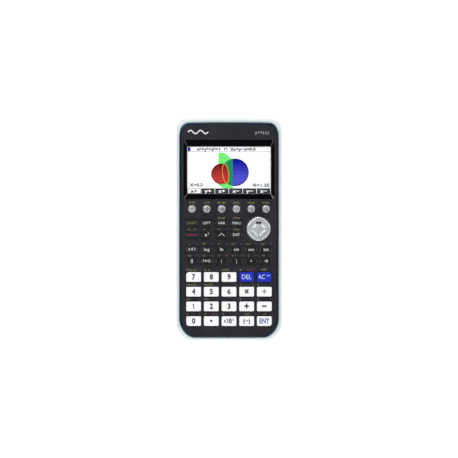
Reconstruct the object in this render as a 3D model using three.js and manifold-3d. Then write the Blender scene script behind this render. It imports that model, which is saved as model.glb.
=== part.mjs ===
// Graphing calculator lying on its back, in millimetres.
// +X is to the right of the keyboard, +Y towards the display end, +Z out of the keyboard.
// The origin is on the table, under the middle of the case.

import * as THREE from 'three';
import { mergeVertices } from 'three/addons/utils/BufferGeometryUtils.js';
import Module from 'manifold-3d';

const wasm = await Module();
wasm.setup();

// ---------------------------------------------------------------- driving dimensions

const CASE_WIDTH = 89;
const CASE_LENGTH = 188.5;
const SIDE_RIM = 2.5;
const TOP_RIM = 4.05;
const BOTTOM_RIM = 2.45;
const TOP_BOW = 0.5;
const TOP_CORNER = { a: 12, b: 16.8, power: 3.3 };
const BOTTOM_CORNER = { a: 14, b: 16.8, power: 2 };

// Gap kept between pieces that touch, and round pieces that move.
const SEAT_GAP = 0.3;
const KEY_CLEARANCE = 0.35;

// Thicknesses, from the table up.
const FOOT_HEIGHT = 0.5;
const FOOT_RADIUS = 3.5;
const FLOOR_THICKNESS = 2;
const BATTERY_COVER_THICKNESS = 1.2;
const CELL_DIAMETER = 10.3;
const CELL_LENGTH = 44.5;
const PANEL_THICKNESS = 1.6;
const WINDOW_THICKNESS = 0.8;
const FACE_THICKNESS = 1.8;
const NUMBER_KEY_RISE = 1.2;
const BLACK_KEY_RISE = 0.8;
const FUNCTION_KEY_RISE = 0.9;
const CURSOR_PAD_RISE = 1;

// Shells. The front cover's lip stands inside the rear cover's edge.
const WALL = 2;
const LIP = { thickness: 1, depth: 0.4 };
const FRONT_EDGE_HEIGHT = 3.5;
const FRONT_BEVEL = { inset: 1.8, height: 1.9 };
const LOWER_ROUND = { inset: 5, height: 7 };
const SHOULDER_HEIGHT = 4;
const SHOULDER_CLOSE = 0.92;

// Bevel from the side of the front cover up to its face: shares of the inset and of the drop.
const FRONT_BEVEL_PROFILE = [[0, 1], [0.25, 0.45], [0.6, 0.12], [1, 0]];

// Display.
const TOP_BAND = 15;
const RECESS_SIDE_MARGIN = 3.8;
const RECESS_LENGTH = 49.8;
const RECESS_SLOPE = { side: 2.6, top: 4.9, bottom: 3.9 };
const RECESS_LIP = 0.3;
const WINDOW_LEDGE = 1.2;
const PANEL_LEDGE = 2;

// Keyboard, across.
const BLACK_KEY_MARGIN = 5.75;
const BLACK_KEY_GAP = 2.5;
const NUMBER_KEY_MARGIN = 5.95;
const NUMBER_KEY_GAP = 2.4;

// Keyboard, down: each row's key length, and its share of the free space above it.
const BOTTOM_MARGIN = 10.1;
const FUNCTION_KEY_DIAMETER = 6.8;
const BLACK_KEY_LENGTH = 5.8;
const NUMBER_KEY_LENGTH = 8.1;
const ROW_SPACES = { function: 5, shift: 5.9, alpha: 4, angle: 6.5, bracket: 4, number: 6.45, between: 4.3 };

// Keys.
const KEY_TRAVEL = 1.2;
const KEY_FLANGE = 0.8;
const KEY_FLANGE_THICKNESS = 0.7;
const KEY_POCKET_DEPTH = 1.5;
const KEY_WALL = 1.3;
const KEY_BEVEL = { inset: 0.45, height: 0.3 };
const KEY_CORNER = 0.9;
const OUTER_KEY_CORNER = 2.3;
const ROUND_KEY_SIDES = 12;

// Cursor pad.
const PAD_MARGIN = 3.4;
const PAD_CLEARANCE = 0.6;
const PAD_FLANGE = 1;
const PAD_FLANGE_THICKNESS = 0.5;
const PAD_TILT = THREE.MathUtils.degToRad(3.2);
const PAD_OFFSET = 0.5;
const PIVOT_RADIUS = 2.5;
const PIVOT_THICKNESS = 0.45;

// Top of the cursor pad from its edge to its middle: share of the radius, depth below the ring.
const PAD_TOP_PROFILE = [[1, 0.7], [0.94, 0.15], [0.84, 0], [0.6, 0.35], [0, 0.1]];

// Keyboard mat and circuit board.
const MAT_THICKNESS = 0.7;
const DOME_RADIUS = 1.4;
const DOME_BASE_RADIUS = 1.82;
const BOARD_THICKNESS = 1;
const BOARD_GAP = 0.8;
const BOARD_STRIP_WIDTH = 10;

// Battery bay.
const CELL_COUNT = 4;
const CELL_SPACING = 0.6;
const CELL_NUB = { radius: 1.9, length: 0.8 };
const BAY_MARGIN = 0.8;
const CONTACT_SPACE = 2.5;
const BAY_WALL = 1.2;
const COVER_LEDGE = 2;
const COVER_CLEARANCE = 0.35;
const COVER_CORNER = 2;
const TONGUE = { width: 14, length: 4 };
const FINGER_NOTCH = { width: 18, length: 5, depth: 1.2 };

// Fastenings, sockets and reset hole.
const BOSS_RADIUS = 2.6;
const SCREW_HOLE_RADIUS = 1;
const SCREW_HEAD = { radius: 2.3, depth: 1.2 };
const BOSS_INSET = { side: 10.5, end: 24.25 };
const FOOT_INSET = { side: 14.5, end: 10.25 };
const RESET_HOLE = { radius: 0.9, beside: 7.6, below: 15.8 };
const USB_SHELL = { width: 7.7, length: 8, height: 3.9, wall: 0.4, x: 14 };
const USB_TONGUE = { width: 4.6, length: 5, height: 0.8 };
const SOCKET_CUT_CLEARANCE = 0.4;
const SOCKET_SETBACK = 2;
const JACK_HOLE = { radius: 1.9, x: -4 };

// ---------------------------------------------------------------- derived places

const face = {
  left: -CASE_WIDTH / 2 + SIDE_RIM,
  right: CASE_WIDTH / 2 - SIDE_RIM,
  bottom: -CASE_LENGTH / 2 + BOTTOM_RIM,
  top: CASE_LENGTH / 2 - TOP_RIM,
};
const faceWidth = face.right - face.left;

const backZ = FOOT_HEIGHT;
const floorTop = backZ + FLOOR_THICKNESS;
const coverTop = backZ + BATTERY_COVER_THICKNESS;
const cellZ = coverTop + SEAT_GAP + CELL_DIAMETER / 2;
const cellTop = cellZ + CELL_DIAMETER / 2;
const panelBottom = cellTop + SEAT_GAP;
const windowBottom = panelBottom + PANEL_THICKNESS + SEAT_GAP;
const faceUnderside = windowBottom + WINDOW_THICKNESS + SEAT_GAP;
const faceZ = faceUnderside + FACE_THICKNESS;
const frontBottom = faceZ - FRONT_EDGE_HEIGHT;
const rearTop = frontBottom - SEAT_GAP;

const flangeTop = faceUnderside - SEAT_GAP;
const flangeBottom = flangeTop - KEY_FLANGE_THICKNESS;

const recess = {
  left: face.left + RECESS_SIDE_MARGIN,
  right: face.right - RECESS_SIDE_MARGIN,
  top: face.top - TOP_BAND,
  bottom: face.top - TOP_BAND - RECESS_LENGTH,
};
const opening = {
  left: recess.left + RECESS_SLOPE.side,
  right: recess.right - RECESS_SLOPE.side,
  top: recess.top - RECESS_SLOPE.top,
  bottom: recess.bottom + RECESS_SLOPE.bottom,
};
const displayY = (opening.top + opening.bottom) / 2;

// Key columns and key widths follow the width of the face.
const blackKeyWidth = (faceWidth - 2 * BLACK_KEY_MARGIN - 5 * BLACK_KEY_GAP) / 6;
const numberKeyWidth = (faceWidth - 2 * NUMBER_KEY_MARGIN - 4 * NUMBER_KEY_GAP) / 5;

function blackColumn(index) {
  return (index - 2.5) * (blackKeyWidth + BLACK_KEY_GAP);
}

function numberColumn(index) {
  return (index - 2) * (numberKeyWidth + NUMBER_KEY_GAP);
}

// Key rows from the display down. The free length is shared out between them.
const KEY_ROWS = [
  { space: ROW_SPACES.function, length: FUNCTION_KEY_DIAMETER },
  { space: ROW_SPACES.shift, length: BLACK_KEY_LENGTH },
  { space: ROW_SPACES.alpha, length: BLACK_KEY_LENGTH },
  { space: ROW_SPACES.angle, length: BLACK_KEY_LENGTH },
  { space: ROW_SPACES.bracket, length: BLACK_KEY_LENGTH },
  { space: ROW_SPACES.number, length: NUMBER_KEY_LENGTH },
  { space: ROW_SPACES.between, length: NUMBER_KEY_LENGTH },
  { space: ROW_SPACES.between, length: NUMBER_KEY_LENGTH },
  { space: ROW_SPACES.between, length: NUMBER_KEY_LENGTH },
];
const keyLengths = KEY_ROWS.reduce((sum, row) => sum + row.length, 0);
const spaceShares = KEY_ROWS.reduce((sum, row) => sum + row.space, 0);
const freeLength = recess.bottom - face.bottom - BOTTOM_MARGIN - keyLengths;
const rowY = [];
let cursor = recess.bottom;
for (const row of KEY_ROWS) {
  cursor -= row.space * freeLength / spaceShares;
  rowY.push(cursor - row.length / 2);
  cursor -= row.length;
}

// The cursor pad fills the right-hand end of the two upper black rows.
const padRoomY = rowY[0] - FUNCTION_KEY_DIAMETER / 2 - (rowY[3] + BLACK_KEY_LENGTH / 2);
const padRoomX = faceWidth / 2 - (blackColumn(3) + blackKeyWidth / 2);
const padHoleRadius = Math.min(padRoomX, padRoomY) / 2 - PAD_MARGIN;
const padRadius = padHoleRadius - PAD_CLEARANCE;
const padFlangeRadius = padRadius + PAD_FLANGE;
const padX = (blackColumn(4) + blackColumn(5)) / 2;
const padY = (rowY[0] - FUNCTION_KEY_DIAMETER / 2 + rowY[3] + BLACK_KEY_LENGTH / 2) / 2 + PAD_OFFSET;
const padRise = padFlangeRadius * Math.sin(Math.SQRT2 * PAD_TILT);
const padFlangeTop = faceUnderside - padRise - SEAT_GAP / 2;
const padBottom = padFlangeTop - PAD_FLANGE_THICKNESS;
const pivotTop = padBottom - SEAT_GAP;

const matTop = Math.min(flangeBottom - KEY_TRAVEL, padBottom - padRise + SEAT_GAP / 2) - SEAT_GAP;
const matBottom = matTop - MAT_THICKNESS;
const domeTop = flangeBottom + KEY_POCKET_DEPTH - KEY_TRAVEL - SEAT_GAP;
const boardTop = matBottom - SEAT_GAP;
const boardBottom = boardTop - BOARD_THICKNESS;

const bayWidth = CELL_COUNT * CELL_DIAMETER + (CELL_COUNT - 1) * CELL_SPACING + 2 * BAY_MARGIN;
const bayLength = CELL_LENGTH + 2 * CONTACT_SPACE;
const bay = {
  left: -bayWidth / 2,
  right: bayWidth / 2,
  bottom: displayY - bayLength / 2,
  top: displayY + bayLength / 2,
};
const cover = grown(bay, COVER_LEDGE);
const window = grown(opening, WINDOW_LEDGE);
const panel = grown(opening, PANEL_LEDGE);

// The mat and the main part of the board stop short of the battery bay and the display.
const keyboardEnd = Math.min(bay.bottom - BAY_WALL, panel.bottom) - BOARD_GAP;

// ---------------------------------------------------------------- outlines

function grown(rect, by) {
  return {
    left: rect.left - by,
    right: rect.right + by,
    bottom: rect.bottom - by,
    top: rect.top + by,
  };
}

// Counter-clockwise outline of a rectangle whose corners are superellipse quarters.
// corners: bottom right, top right, top left, bottom left, each { a, b, power }.
function outline(rect, corners, steps, edgeSteps = 1, bow = 0) {
  const points = [];
  const middle = (rect.left + rect.right) / 2;
  const half = (rect.right - rect.left) / 2;
  corners.forEach((corner, index) => {
    const right = index === 0 || index === 1;
    const top = index === 1 || index === 2;
    const centreX = right ? rect.right - corner.a : rect.left + corner.a;
    const centreY = top ? rect.top - corner.b : rect.bottom + corner.b;
    for (let step = 0; step <= steps; step += 1) {
      const angle = (index - 1 + step / steps) * Math.PI / 2;
      const x = Math.abs(Math.cos(angle)) ** (2 / corner.power) * corner.a;
      const y = Math.abs(Math.sin(angle)) ** (2 / corner.power) * corner.b;
      points.push(new THREE.Vector2(centreX + (right ? x : -x), centreY + (top ? y : -y)));
    }
    if (index === 1) {
      const from = points[points.length - 1];
      const to = rect.left + corners[2].a;
      for (let step = 1; step < edgeSteps; step += 1) {
        points.push(new THREE.Vector2(from.x + (to - from.x) * step / edgeSteps, rect.top));
      }
    }
  });
  for (const point of points) {
    if (point.y > rect.top - corners[1].b) {
      const across = (point.x - middle) / half;
      point.y += bow * (1 - across * across);
    }
  }
  return points;
}

function roundedRect(rect, radii, steps) {
  const corners = radii.map((radius) => ({ a: radius, b: radius, power: 2 }));
  return outline(rect, corners, steps);
}

function circle(x, y, radius, sides) {
  const points = [];
  for (let side = 0; side < sides; side += 1) {
    const angle = side * 2 * Math.PI / sides;
    points.push(new THREE.Vector2(x + radius * Math.cos(angle), y + radius * Math.sin(angle)));
  }
  return points;
}

function inset(points, rect, by) {
  const centreX = (rect.left + rect.right) / 2;
  const centreY = (rect.top + rect.bottom) / 2;
  const scaleX = 1 - 2 * by / (rect.right - rect.left);
  const scaleY = 1 - 2 * by / (rect.top - rect.bottom);
  return points.map((point) => new THREE.Vector2(
    centreX + (point.x - centreX) * scaleX,
    centreY + (point.y - centreY) * scaleY,
  ));
}

function blend(from, to, share) {
  return from.map((point, index) => point.clone().lerp(to[index], share));
}

const CASE_CORNERS = [BOTTOM_CORNER, TOP_CORNER, TOP_CORNER, BOTTOM_CORNER];
const CORNER_STEPS = 7;
const TOP_EDGE_STEPS = 6;
const caseRect = {
  left: -CASE_WIDTH / 2,
  right: CASE_WIDTH / 2,
  bottom: -CASE_LENGTH / 2,
  top: CASE_LENGTH / 2 - TOP_BOW,
};
const faceRect = { ...face, top: face.top - TOP_BOW };
const caseOutline = outline(caseRect, CASE_CORNERS, CORNER_STEPS, TOP_EDGE_STEPS, TOP_BOW);
const faceOutline = outline(faceRect, CASE_CORNERS, CORNER_STEPS, TOP_EDGE_STEPS, TOP_BOW);
const cavityOutline = inset(faceOutline, faceRect, WALL);
const lipOutline = inset(faceOutline, faceRect, WALL + SEAT_GAP);

// The keyboard mat lies inside the lip.
function matOutline(by) {
  return inset(faceOutline, faceRect, WALL + LIP.thickness + 2 * SEAT_GAP + by);
}

// ---------------------------------------------------------------- solids

// Closed surface through a stack of rings that have the same number of points.
function ringGeometry(rings) {
  const count = rings[0].points.length;
  const positions = [];
  const index = [];
  for (const ring of rings) {
    for (const point of ring.points) {
      positions.push(point.x, point.y, ring.z);
    }
  }
  for (let ring = 0; ring < rings.length - 1; ring += 1) {
    for (let side = 0; side < count; side += 1) {
      const next = (side + 1) % count;
      const low = ring * count;
      const high = low + count;
      index.push(low + side, low + next, high + next);
      index.push(low + side, high + next, high + side);
    }
  }
  const last = (rings.length - 1) * count;
  for (const [a, b, c] of THREE.ShapeUtils.triangulateShape(rings[0].points, [])) {
    index.push(c, b, a);
  }
  for (const [a, b, c] of THREE.ShapeUtils.triangulateShape(rings[rings.length - 1].points, [])) {
    index.push(last + a, last + b, last + c);
  }
  const geometry = new THREE.BufferGeometry();
  geometry.setAttribute('position', new THREE.Float32BufferAttribute(positions, 3));
  geometry.setIndex(index);
  geometry.computeVertexNormals();
  return geometry;
}

function prism(points, bottom, top) {
  const geometry = new THREE.ExtrudeGeometry(new THREE.Shape(points), {
    depth: top - bottom,
    bevelEnabled: false,
  });
  return geometry.translate(0, 0, bottom);
}

function box(rect, bottom, top) {
  const geometry = new THREE.BoxGeometry(rect.right - rect.left, rect.top - rect.bottom, top - bottom);
  return geometry.translate((rect.left + rect.right) / 2, (rect.top + rect.bottom) / 2, (top + bottom) / 2);
}

function post(x, y, radius, bottom, top, sides) {
  const geometry = new THREE.CylinderGeometry(radius, radius, top - bottom, sides);
  return geometry.rotateX(Math.PI / 2).translate(x, y, (top + bottom) / 2);
}

// Solid of revolution about an upright axis; the profile is radius and height pairs.
function turned(profile, sides) {
  const points = profile.map(([radius, height]) => new THREE.Vector2(radius, height));
  return new THREE.LatheGeometry(points, sides).rotateX(Math.PI / 2);
}

function toSolid(geometry) {
  const bare = geometry.clone();
  bare.deleteAttribute('normal');
  bare.deleteAttribute('uv');
  const merged = mergeVertices(bare);
  return new wasm.Manifold(new wasm.Mesh({
    numProp: 3,
    vertProperties: new Float32Array(merged.attributes.position.array),
    triVerts: new Uint32Array(merged.index.array),
  }));
}

function joined(solid, geometries) {
  return geometries.reduce((sum, geometry) => sum.add(toSolid(geometry)), solid);
}

function cut(solid, geometries) {
  return geometries.reduce((rest, geometry) => rest.subtract(toSolid(geometry)), solid);
}

function toGeometry(solid) {
  const mesh = solid.getMesh();
  const geometry = new THREE.BufferGeometry();
  geometry.setAttribute('position', new THREE.Float32BufferAttribute(mesh.vertProperties, 3));
  geometry.setIndex([...mesh.triVerts]);
  geometry.computeVertexNormals();
  return geometry;
}

// ---------------------------------------------------------------- finishes

const FINISHES = {
  black_plastic: { color: 0x2b2a2f, roughness: 0.55, metalness: 0 },
  white_plastic: { color: 0xe3edf2, roughness: 0.4, metalness: 0 },
  black_key: { color: 0x1c1c1f, roughness: 0.5, metalness: 0 },
  white_key: { color: 0xf2f2f0, roughness: 0.45, metalness: 0 },
  blue_key: { color: 0x3a44c0, roughness: 0.45, metalness: 0 },
  silver_key: { color: 0xb4b6b8, roughness: 0.35, metalness: 0.6 },
  clear_window: { color: 0x9fb2c0, roughness: 0.05, metalness: 0 },
  display: { color: 0xf5f7fa, roughness: 0.3, metalness: 0 },
  rubber_mat: { color: 0x9a9aa0, roughness: 0.8, metalness: 0 },
  circuit_board: { color: 0x1f5a34, roughness: 0.5, metalness: 0 },
  cell: { color: 0x8a6a2c, roughness: 0.35, metalness: 0.7 },
  tinned_steel: { color: 0xc6c8cc, roughness: 0.3, metalness: 0.9 },
};

const calculator = new THREE.Group();

function place(name, geometry, finish) {
  const mesh = new THREE.Mesh(geometry, new THREE.MeshStandardMaterial(FINISHES[finish]));
  mesh.name = name;
  calculator.add(mesh);
}

// ---------------------------------------------------------------- keys

const [functionRow, shiftRow, alphaRow, angleRow, bracketRow, ...numberRows] = rowY;

const BLACK_KEYS = [
  [shiftRow, ['shift', 'options', 'variables', 'menu']],
  [alphaRow, ['alpha', 'square', 'power', 'exit']],
  [angleRow, ['x_theta_t', 'log', 'ln', 'sin', 'cos', 'tan']],
  [bracketRow, ['fraction', 'format', 'open_bracket', 'close_bracket', 'comma', 'store']],
];

const NUMBER_KEYS = [
  ['7', '8', '9', 'delete', 'all_clear'],
  ['4', '5', '6', 'multiply', 'divide'],
  ['1', '2', '3', 'add', 'subtract'],
  ['0', 'decimal_point', 'exponent', 'negate', 'execute'],
];
const BLUE_KEYS = ['delete', 'all_clear'];

// Corners of the number block that are rounded more, by key:
// bottom right, top right, top left, bottom left.
const OUTER_CORNERS = { execute: 0, all_clear: 1, 7: 2, 0: 3 };

function keyRect(x, y, width, length) {
  return { left: x - width / 2, right: x + width / 2, bottom: y - length / 2, top: y + length / 2 };
}

const keys = [];

for (let column = 0; column < 6; column += 1) {
  const x = blackColumn(column);
  keys.push({
    name: `key_f${column + 1}`,
    finish: 'silver_key',
    rise: FUNCTION_KEY_RISE,
    x,
    y: functionRow,
    ring: (by) => circle(x, functionRow, FUNCTION_KEY_DIAMETER / 2 - by, ROUND_KEY_SIDES),
    flangeRing: () => circle(x, functionRow, FUNCTION_KEY_DIAMETER / 2 + KEY_FLANGE, ROUND_KEY_SIDES),
  });
}

function addRectangularKey(name, finish, rise, rect, radii, steps) {
  const shrunk = (by) => roundedRect(grown(rect, -by), radii.map((radius) => radius - by / 2), steps);
  const wide = { ...rect, left: rect.left - KEY_FLANGE, right: rect.right + KEY_FLANGE };
  keys.push({
    name,
    finish,
    rise,
    x: (rect.left + rect.right) / 2,
    y: (rect.bottom + rect.top) / 2,
    ring: shrunk,
    flangeRing: () => roundedRect(wide, radii, steps),
  });
}

for (const [y, names] of BLACK_KEYS) {
  names.forEach((name, column) => {
    const rect = keyRect(blackColumn(column), y, blackKeyWidth, BLACK_KEY_LENGTH);
    addRectangularKey(`key_${name}`, 'black_key', BLACK_KEY_RISE, rect, Array(4).fill(KEY_CORNER), 1);
  });
}

NUMBER_KEYS.forEach((names, row) => {
  names.forEach((name, column) => {
    const rect = keyRect(numberColumn(column), numberRows[row], numberKeyWidth, NUMBER_KEY_LENGTH);
    const radii = Array(4).fill(KEY_CORNER);
    if (name in OUTER_CORNERS) {
      radii[OUTER_CORNERS[name]] = OUTER_KEY_CORNER;
    }
    const finish = BLUE_KEYS.includes(name) ? 'blue_key' : 'white_key';
    addRectangularKey(`key_${name}`, finish, NUMBER_KEY_RISE, rect, radii, 2);
  });
});

// A key is a hollow cap that stands through the face, held in by its flange.
function keyGeometry(key) {
  const top = faceZ + key.rise;
  return ringGeometry([
    { points: key.ring(KEY_WALL), z: flangeBottom + KEY_POCKET_DEPTH },
    { points: key.ring(KEY_WALL), z: flangeBottom },
    { points: key.flangeRing(), z: flangeBottom },
    { points: key.flangeRing(), z: flangeTop },
    { points: key.ring(0), z: flangeTop },
    { points: key.ring(0), z: top - KEY_BEVEL.height },
    { points: key.ring(KEY_BEVEL.inset), z: top },
  ]);
}

for (const key of keys) {
  place(key.name, keyGeometry(key), key.finish);
}

// ---------------------------------------------------------------- cursor pad

const PAD_SIDES = 32;
const padTop = faceZ + CURSOR_PAD_RISE;
const padProfile = [
  [0, padBottom],
  [padFlangeRadius, padBottom],
  [padFlangeRadius, padFlangeTop],
  [padRadius, padFlangeTop],
  ...PAD_TOP_PROFILE.map(([share, depth]) => [padRadius * share, padTop - depth]),
];
place('cursor_pad', turned(padProfile, PAD_SIDES).translate(padX, padY, 0), 'silver_key');

const pivotProfile = [
  [0, pivotTop - PIVOT_THICKNESS],
  [PIVOT_RADIUS, pivotTop - PIVOT_THICKNESS],
  [PIVOT_RADIUS, pivotTop],
  [0, pivotTop],
];
place('cursor_pad_pivot', turned(pivotProfile, 16).translate(padX, padY, 0), 'black_plastic');

// ---------------------------------------------------------------- front cover

function frontCover() {
  const bevel = FRONT_BEVEL_PROFILE.map(([across, drop]) => ({
    points: inset(faceOutline, faceRect, FRONT_BEVEL.inset * across),
    z: faceZ - FRONT_BEVEL.height * drop,
  }));
  const shell = toSolid(ringGeometry([{ points: faceOutline, z: frontBottom }, ...bevel]));
  const below = frontBottom - 1;
  const above = faceZ + 1;
  const slope = ringGeometry([
    { points: roundedRect(opening, Array(4).fill(0.5), 1), z: faceUnderside + RECESS_LIP },
    { points: roundedRect(recess, Array(4).fill(1), 1), z: faceZ + 0.001 },
    { points: roundedRect(recess, Array(4).fill(1), 1), z: above },
  ]);
  const holes = keys.map((key) => prism(key.ring(-KEY_CLEARANCE), below, above));
  const lip = cut(toSolid(prism(lipOutline, rearTop - LIP.depth, faceUnderside + 0.5)), [
    prism(matOutline(-SEAT_GAP), below - 1, above),
  ]);
  const hollowShell = cut(shell, [prism(cavityOutline, below, faceUnderside)]);
  return cut(hollowShell.add(lip), [
    slope,
    box(opening, below, above),
    ...holes,
    post(padX, padY, padHoleRadius, below, above, PAD_SIDES),
  ]);
}

place('front_cover', toGeometry(frontCover()), 'black_plastic');

// ---------------------------------------------------------------- display

place('display_window', box(window, windowBottom, windowBottom + WINDOW_THICKNESS), 'clear_window');
place('display_panel', box(panel, panelBottom, panelBottom + PANEL_THICKNESS), 'display');

// ---------------------------------------------------------------- keyboard mat and board

const lowerEnd = { left: -CASE_WIDTH, right: CASE_WIDTH, bottom: -CASE_LENGTH, top: keyboardEnd };
const boardOutline = inset(faceOutline, faceRect, WALL + BOARD_GAP);

function keyMat() {
  const sheet = toSolid(prism(matOutline(0), matBottom, matTop))
    .intersect(toSolid(box(lowerEnd, matBottom - 1, matTop + 1)));
  const domes = keys.map((key) => {
    const profile = [
      [0, matTop - MAT_THICKNESS / 2],
      [DOME_BASE_RADIUS, matTop - MAT_THICKNESS / 2],
      [DOME_RADIUS, domeTop],
      [0, domeTop],
    ];
    return turned(profile, 6).translate(key.x, key.y, 0);
  });
  return joined(sheet, domes);
}

place('key_mat', toGeometry(keyMat()), 'rubber_mat');

const usbY = CASE_LENGTH / 2 - SOCKET_SETBACK - USB_SHELL.length / 2;
const stripLeft = bay.right + BAY_WALL + BOARD_GAP;

function circuitBoard() {
  const under = boardBottom - 1;
  const over = boardTop + 1;
  const sideStrip = { left: stripLeft, right: CASE_WIDTH, bottom: keyboardEnd - 1, top: CASE_LENGTH };
  const topStrip = {
    left: JACK_HOLE.x - BOARD_STRIP_WIDTH,
    right: CASE_WIDTH,
    bottom: bay.top + BAY_WALL + BOARD_GAP,
    top: CASE_LENGTH,
  };
  const plan = joined(toSolid(box(lowerEnd, under, over)), [
    box(sideStrip, under, over),
    box(topStrip, under, over),
  ]);
  return toSolid(prism(boardOutline, boardBottom, boardTop)).intersect(plan);
}

place('circuit_board', toGeometry(circuitBoard()), 'circuit_board');

// ---------------------------------------------------------------- USB socket

const usbZ = boardBottom - SEAT_GAP - USB_SHELL.height / 2;

// Box centred on a point, given by its size along X, Y and Z.
function centredBox(x, y, z, width, length, height) {
  return new THREE.BoxGeometry(width, length, height).translate(x, y, z);
}

function usbSocket() {
  const { width, length, height, wall, x } = USB_SHELL;
  const shell = toSolid(centredBox(x, usbY, usbZ, width, length, height));
  const mouth = centredBox(x, usbY + wall, usbZ, width - 2 * wall, length, height - 2 * wall);
  const tongueY = usbY - length / 2 + USB_TONGUE.length / 2 + wall / 2;
  const tongue = centredBox(x, tongueY, usbZ, USB_TONGUE.width, USB_TONGUE.length, USB_TONGUE.height);
  return joined(cut(shell, [mouth]), [tongue]);
}

place('usb_socket', toGeometry(usbSocket()), 'tinned_steel');

// ---------------------------------------------------------------- rear cover

// Ring at a height on the quarter ellipse that rounds the back into the sides.
function lowerRing(share) {
  const turn = 1 - Math.sqrt(1 - (1 - share) ** 2);
  return {
    points: inset(caseOutline, caseRect, LOWER_ROUND.inset * turn),
    z: backZ + LOWER_ROUND.height * share,
  };
}

// Ring on the shoulder, which closes in on the front cover.
function shoulderRing(share) {
  const turn = 1 - Math.sqrt(1 - share ** 2);
  return {
    points: blend(caseOutline, faceOutline, turn * SHOULDER_CLOSE),
    z: rearTop - SHOULDER_HEIGHT * (1 - share),
  };
}

function coverOutline(rect) {
  return roundedRect(rect, Array(4).fill(COVER_CORNER), 3);
}

const tongue = {
  left: -TONGUE.width / 2,
  right: TONGUE.width / 2,
  bottom: cover.bottom - TONGUE.length,
  top: cover.bottom + 1,
};

function rearCover() {
  const body = toSolid(ringGeometry([
    ...[0, 0.12, 0.35, 0.65, 1].map(lowerRing),
    ...[0, 0.5, 0.8, 1].map(shoulderRing),
  ]));
  const hollow = cut(body, [prism(cavityOutline, floorTop, rearTop + 1)]);

  const bayWalls = cut(toSolid(box(grown(bay, BAY_WALL), floorTop - 1, cellTop)), [
    box(bay, floorTop - 2, cellTop + 1),
  ]);
  const bosses = [];
  const screwHoles = [];
  const bossX = CASE_WIDTH / 2 - BOSS_INSET.side;
  const bossY = CASE_LENGTH / 2 - BOSS_INSET.end;
  for (const x of [-bossX, bossX]) {
    for (const y of [-bossY, 0, bossY]) {
      bosses.push(post(x, y, BOSS_RADIUS, floorTop - 1, boardBottom - SEAT_GAP, 12));
      screwHoles.push(post(x, y, SCREW_HOLE_RADIUS, backZ - 1, boardBottom + 1, 10));
      screwHoles.push(post(x, y, SCREW_HEAD.radius, backZ - 1, backZ + SCREW_HEAD.depth, 12));
    }
  }
  const feet = [];
  const footX = CASE_WIDTH / 2 - FOOT_INSET.side;
  const footY = CASE_LENGTH / 2 - FOOT_INSET.end;
  for (const x of [-footX, footX]) {
    for (const y of [-footY, footY]) {
      feet.push(post(x, y, FOOT_RADIUS, 0, backZ + 1, 16));
    }
  }

  const resetX = bay.left - RESET_HOLE.beside;
  const resetY = displayY - RESET_HOLE.below;
  const ledge = coverTop + SEAT_GAP;
  const notch = {
    left: -FINGER_NOTCH.width / 2,
    right: FINGER_NOTCH.width / 2,
    bottom: tongue.bottom - FINGER_NOTCH.length,
    top: tongue.bottom,
  };
  const width = USB_SHELL.width + 2 * SOCKET_CUT_CLEARANCE;
  const height = USB_SHELL.height + 2 * SOCKET_CUT_CLEARANCE;
  const wallY = CASE_LENGTH / 2;
  const jack = new THREE.CylinderGeometry(JACK_HOLE.radius, JACK_HOLE.radius, 16, 14);
  const shell = joined(hollow.add(bayWalls), [...bosses, ...feet]);
  return cut(shell, [
    box(bay, backZ - 1, floorTop + 1),
    prism(coverOutline(grown(cover, COVER_CLEARANCE)), backZ - 1, ledge),
    box(grown(tongue, COVER_CLEARANCE), backZ - 1, ledge),
    box(notch, backZ - 1, backZ + FINGER_NOTCH.depth),
    ...screwHoles,
    post(resetX, resetY, RESET_HOLE.radius, backZ - 1, floorTop + 1, 10),
    centredBox(USB_SHELL.x, wallY, usbZ, width, 16, height),
    jack.translate(JACK_HOLE.x, wallY, usbZ),
  ]);
}

place('rear_cover', toGeometry(rearCover()), 'white_plastic');

// ---------------------------------------------------------------- battery cover and cells

const batteryCover = joined(toSolid(prism(coverOutline(cover), backZ, coverTop)), [
  box(tongue, backZ, coverTop),
]);
place('battery_cover', toGeometry(batteryCover), 'white_plastic');

// Cells lie side by side along Y, turned end for end in pairs.
const cellRadius = CELL_DIAMETER / 2;
const shoulder = CELL_LENGTH / 2 - CELL_NUB.length;
const cellProfile = [
  [0, -CELL_LENGTH / 2],
  [cellRadius * 0.9, -CELL_LENGTH / 2],
  [cellRadius, -CELL_LENGTH / 2 + 0.5],
  [cellRadius, shoulder - 0.5],
  [cellRadius * 0.9, shoulder],
  [CELL_NUB.radius, shoulder],
  [CELL_NUB.radius, CELL_LENGTH / 2],
  [0, CELL_LENGTH / 2],
];
for (let cell = 0; cell < CELL_COUNT; cell += 1) {
  const x = (cell - (CELL_COUNT - 1) / 2) * (CELL_DIAMETER + CELL_SPACING);
  const facing = cell % 2 === 0 ? -Math.PI / 2 : Math.PI / 2;
  const geometry = turned(cellProfile, 12).rotateX(facing).translate(x, displayY, cellZ);
  place(`battery_${cell + 1}`, geometry, 'cell');
}

export default calculator;
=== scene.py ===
import math

import bpy
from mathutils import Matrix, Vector, geometry


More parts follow.
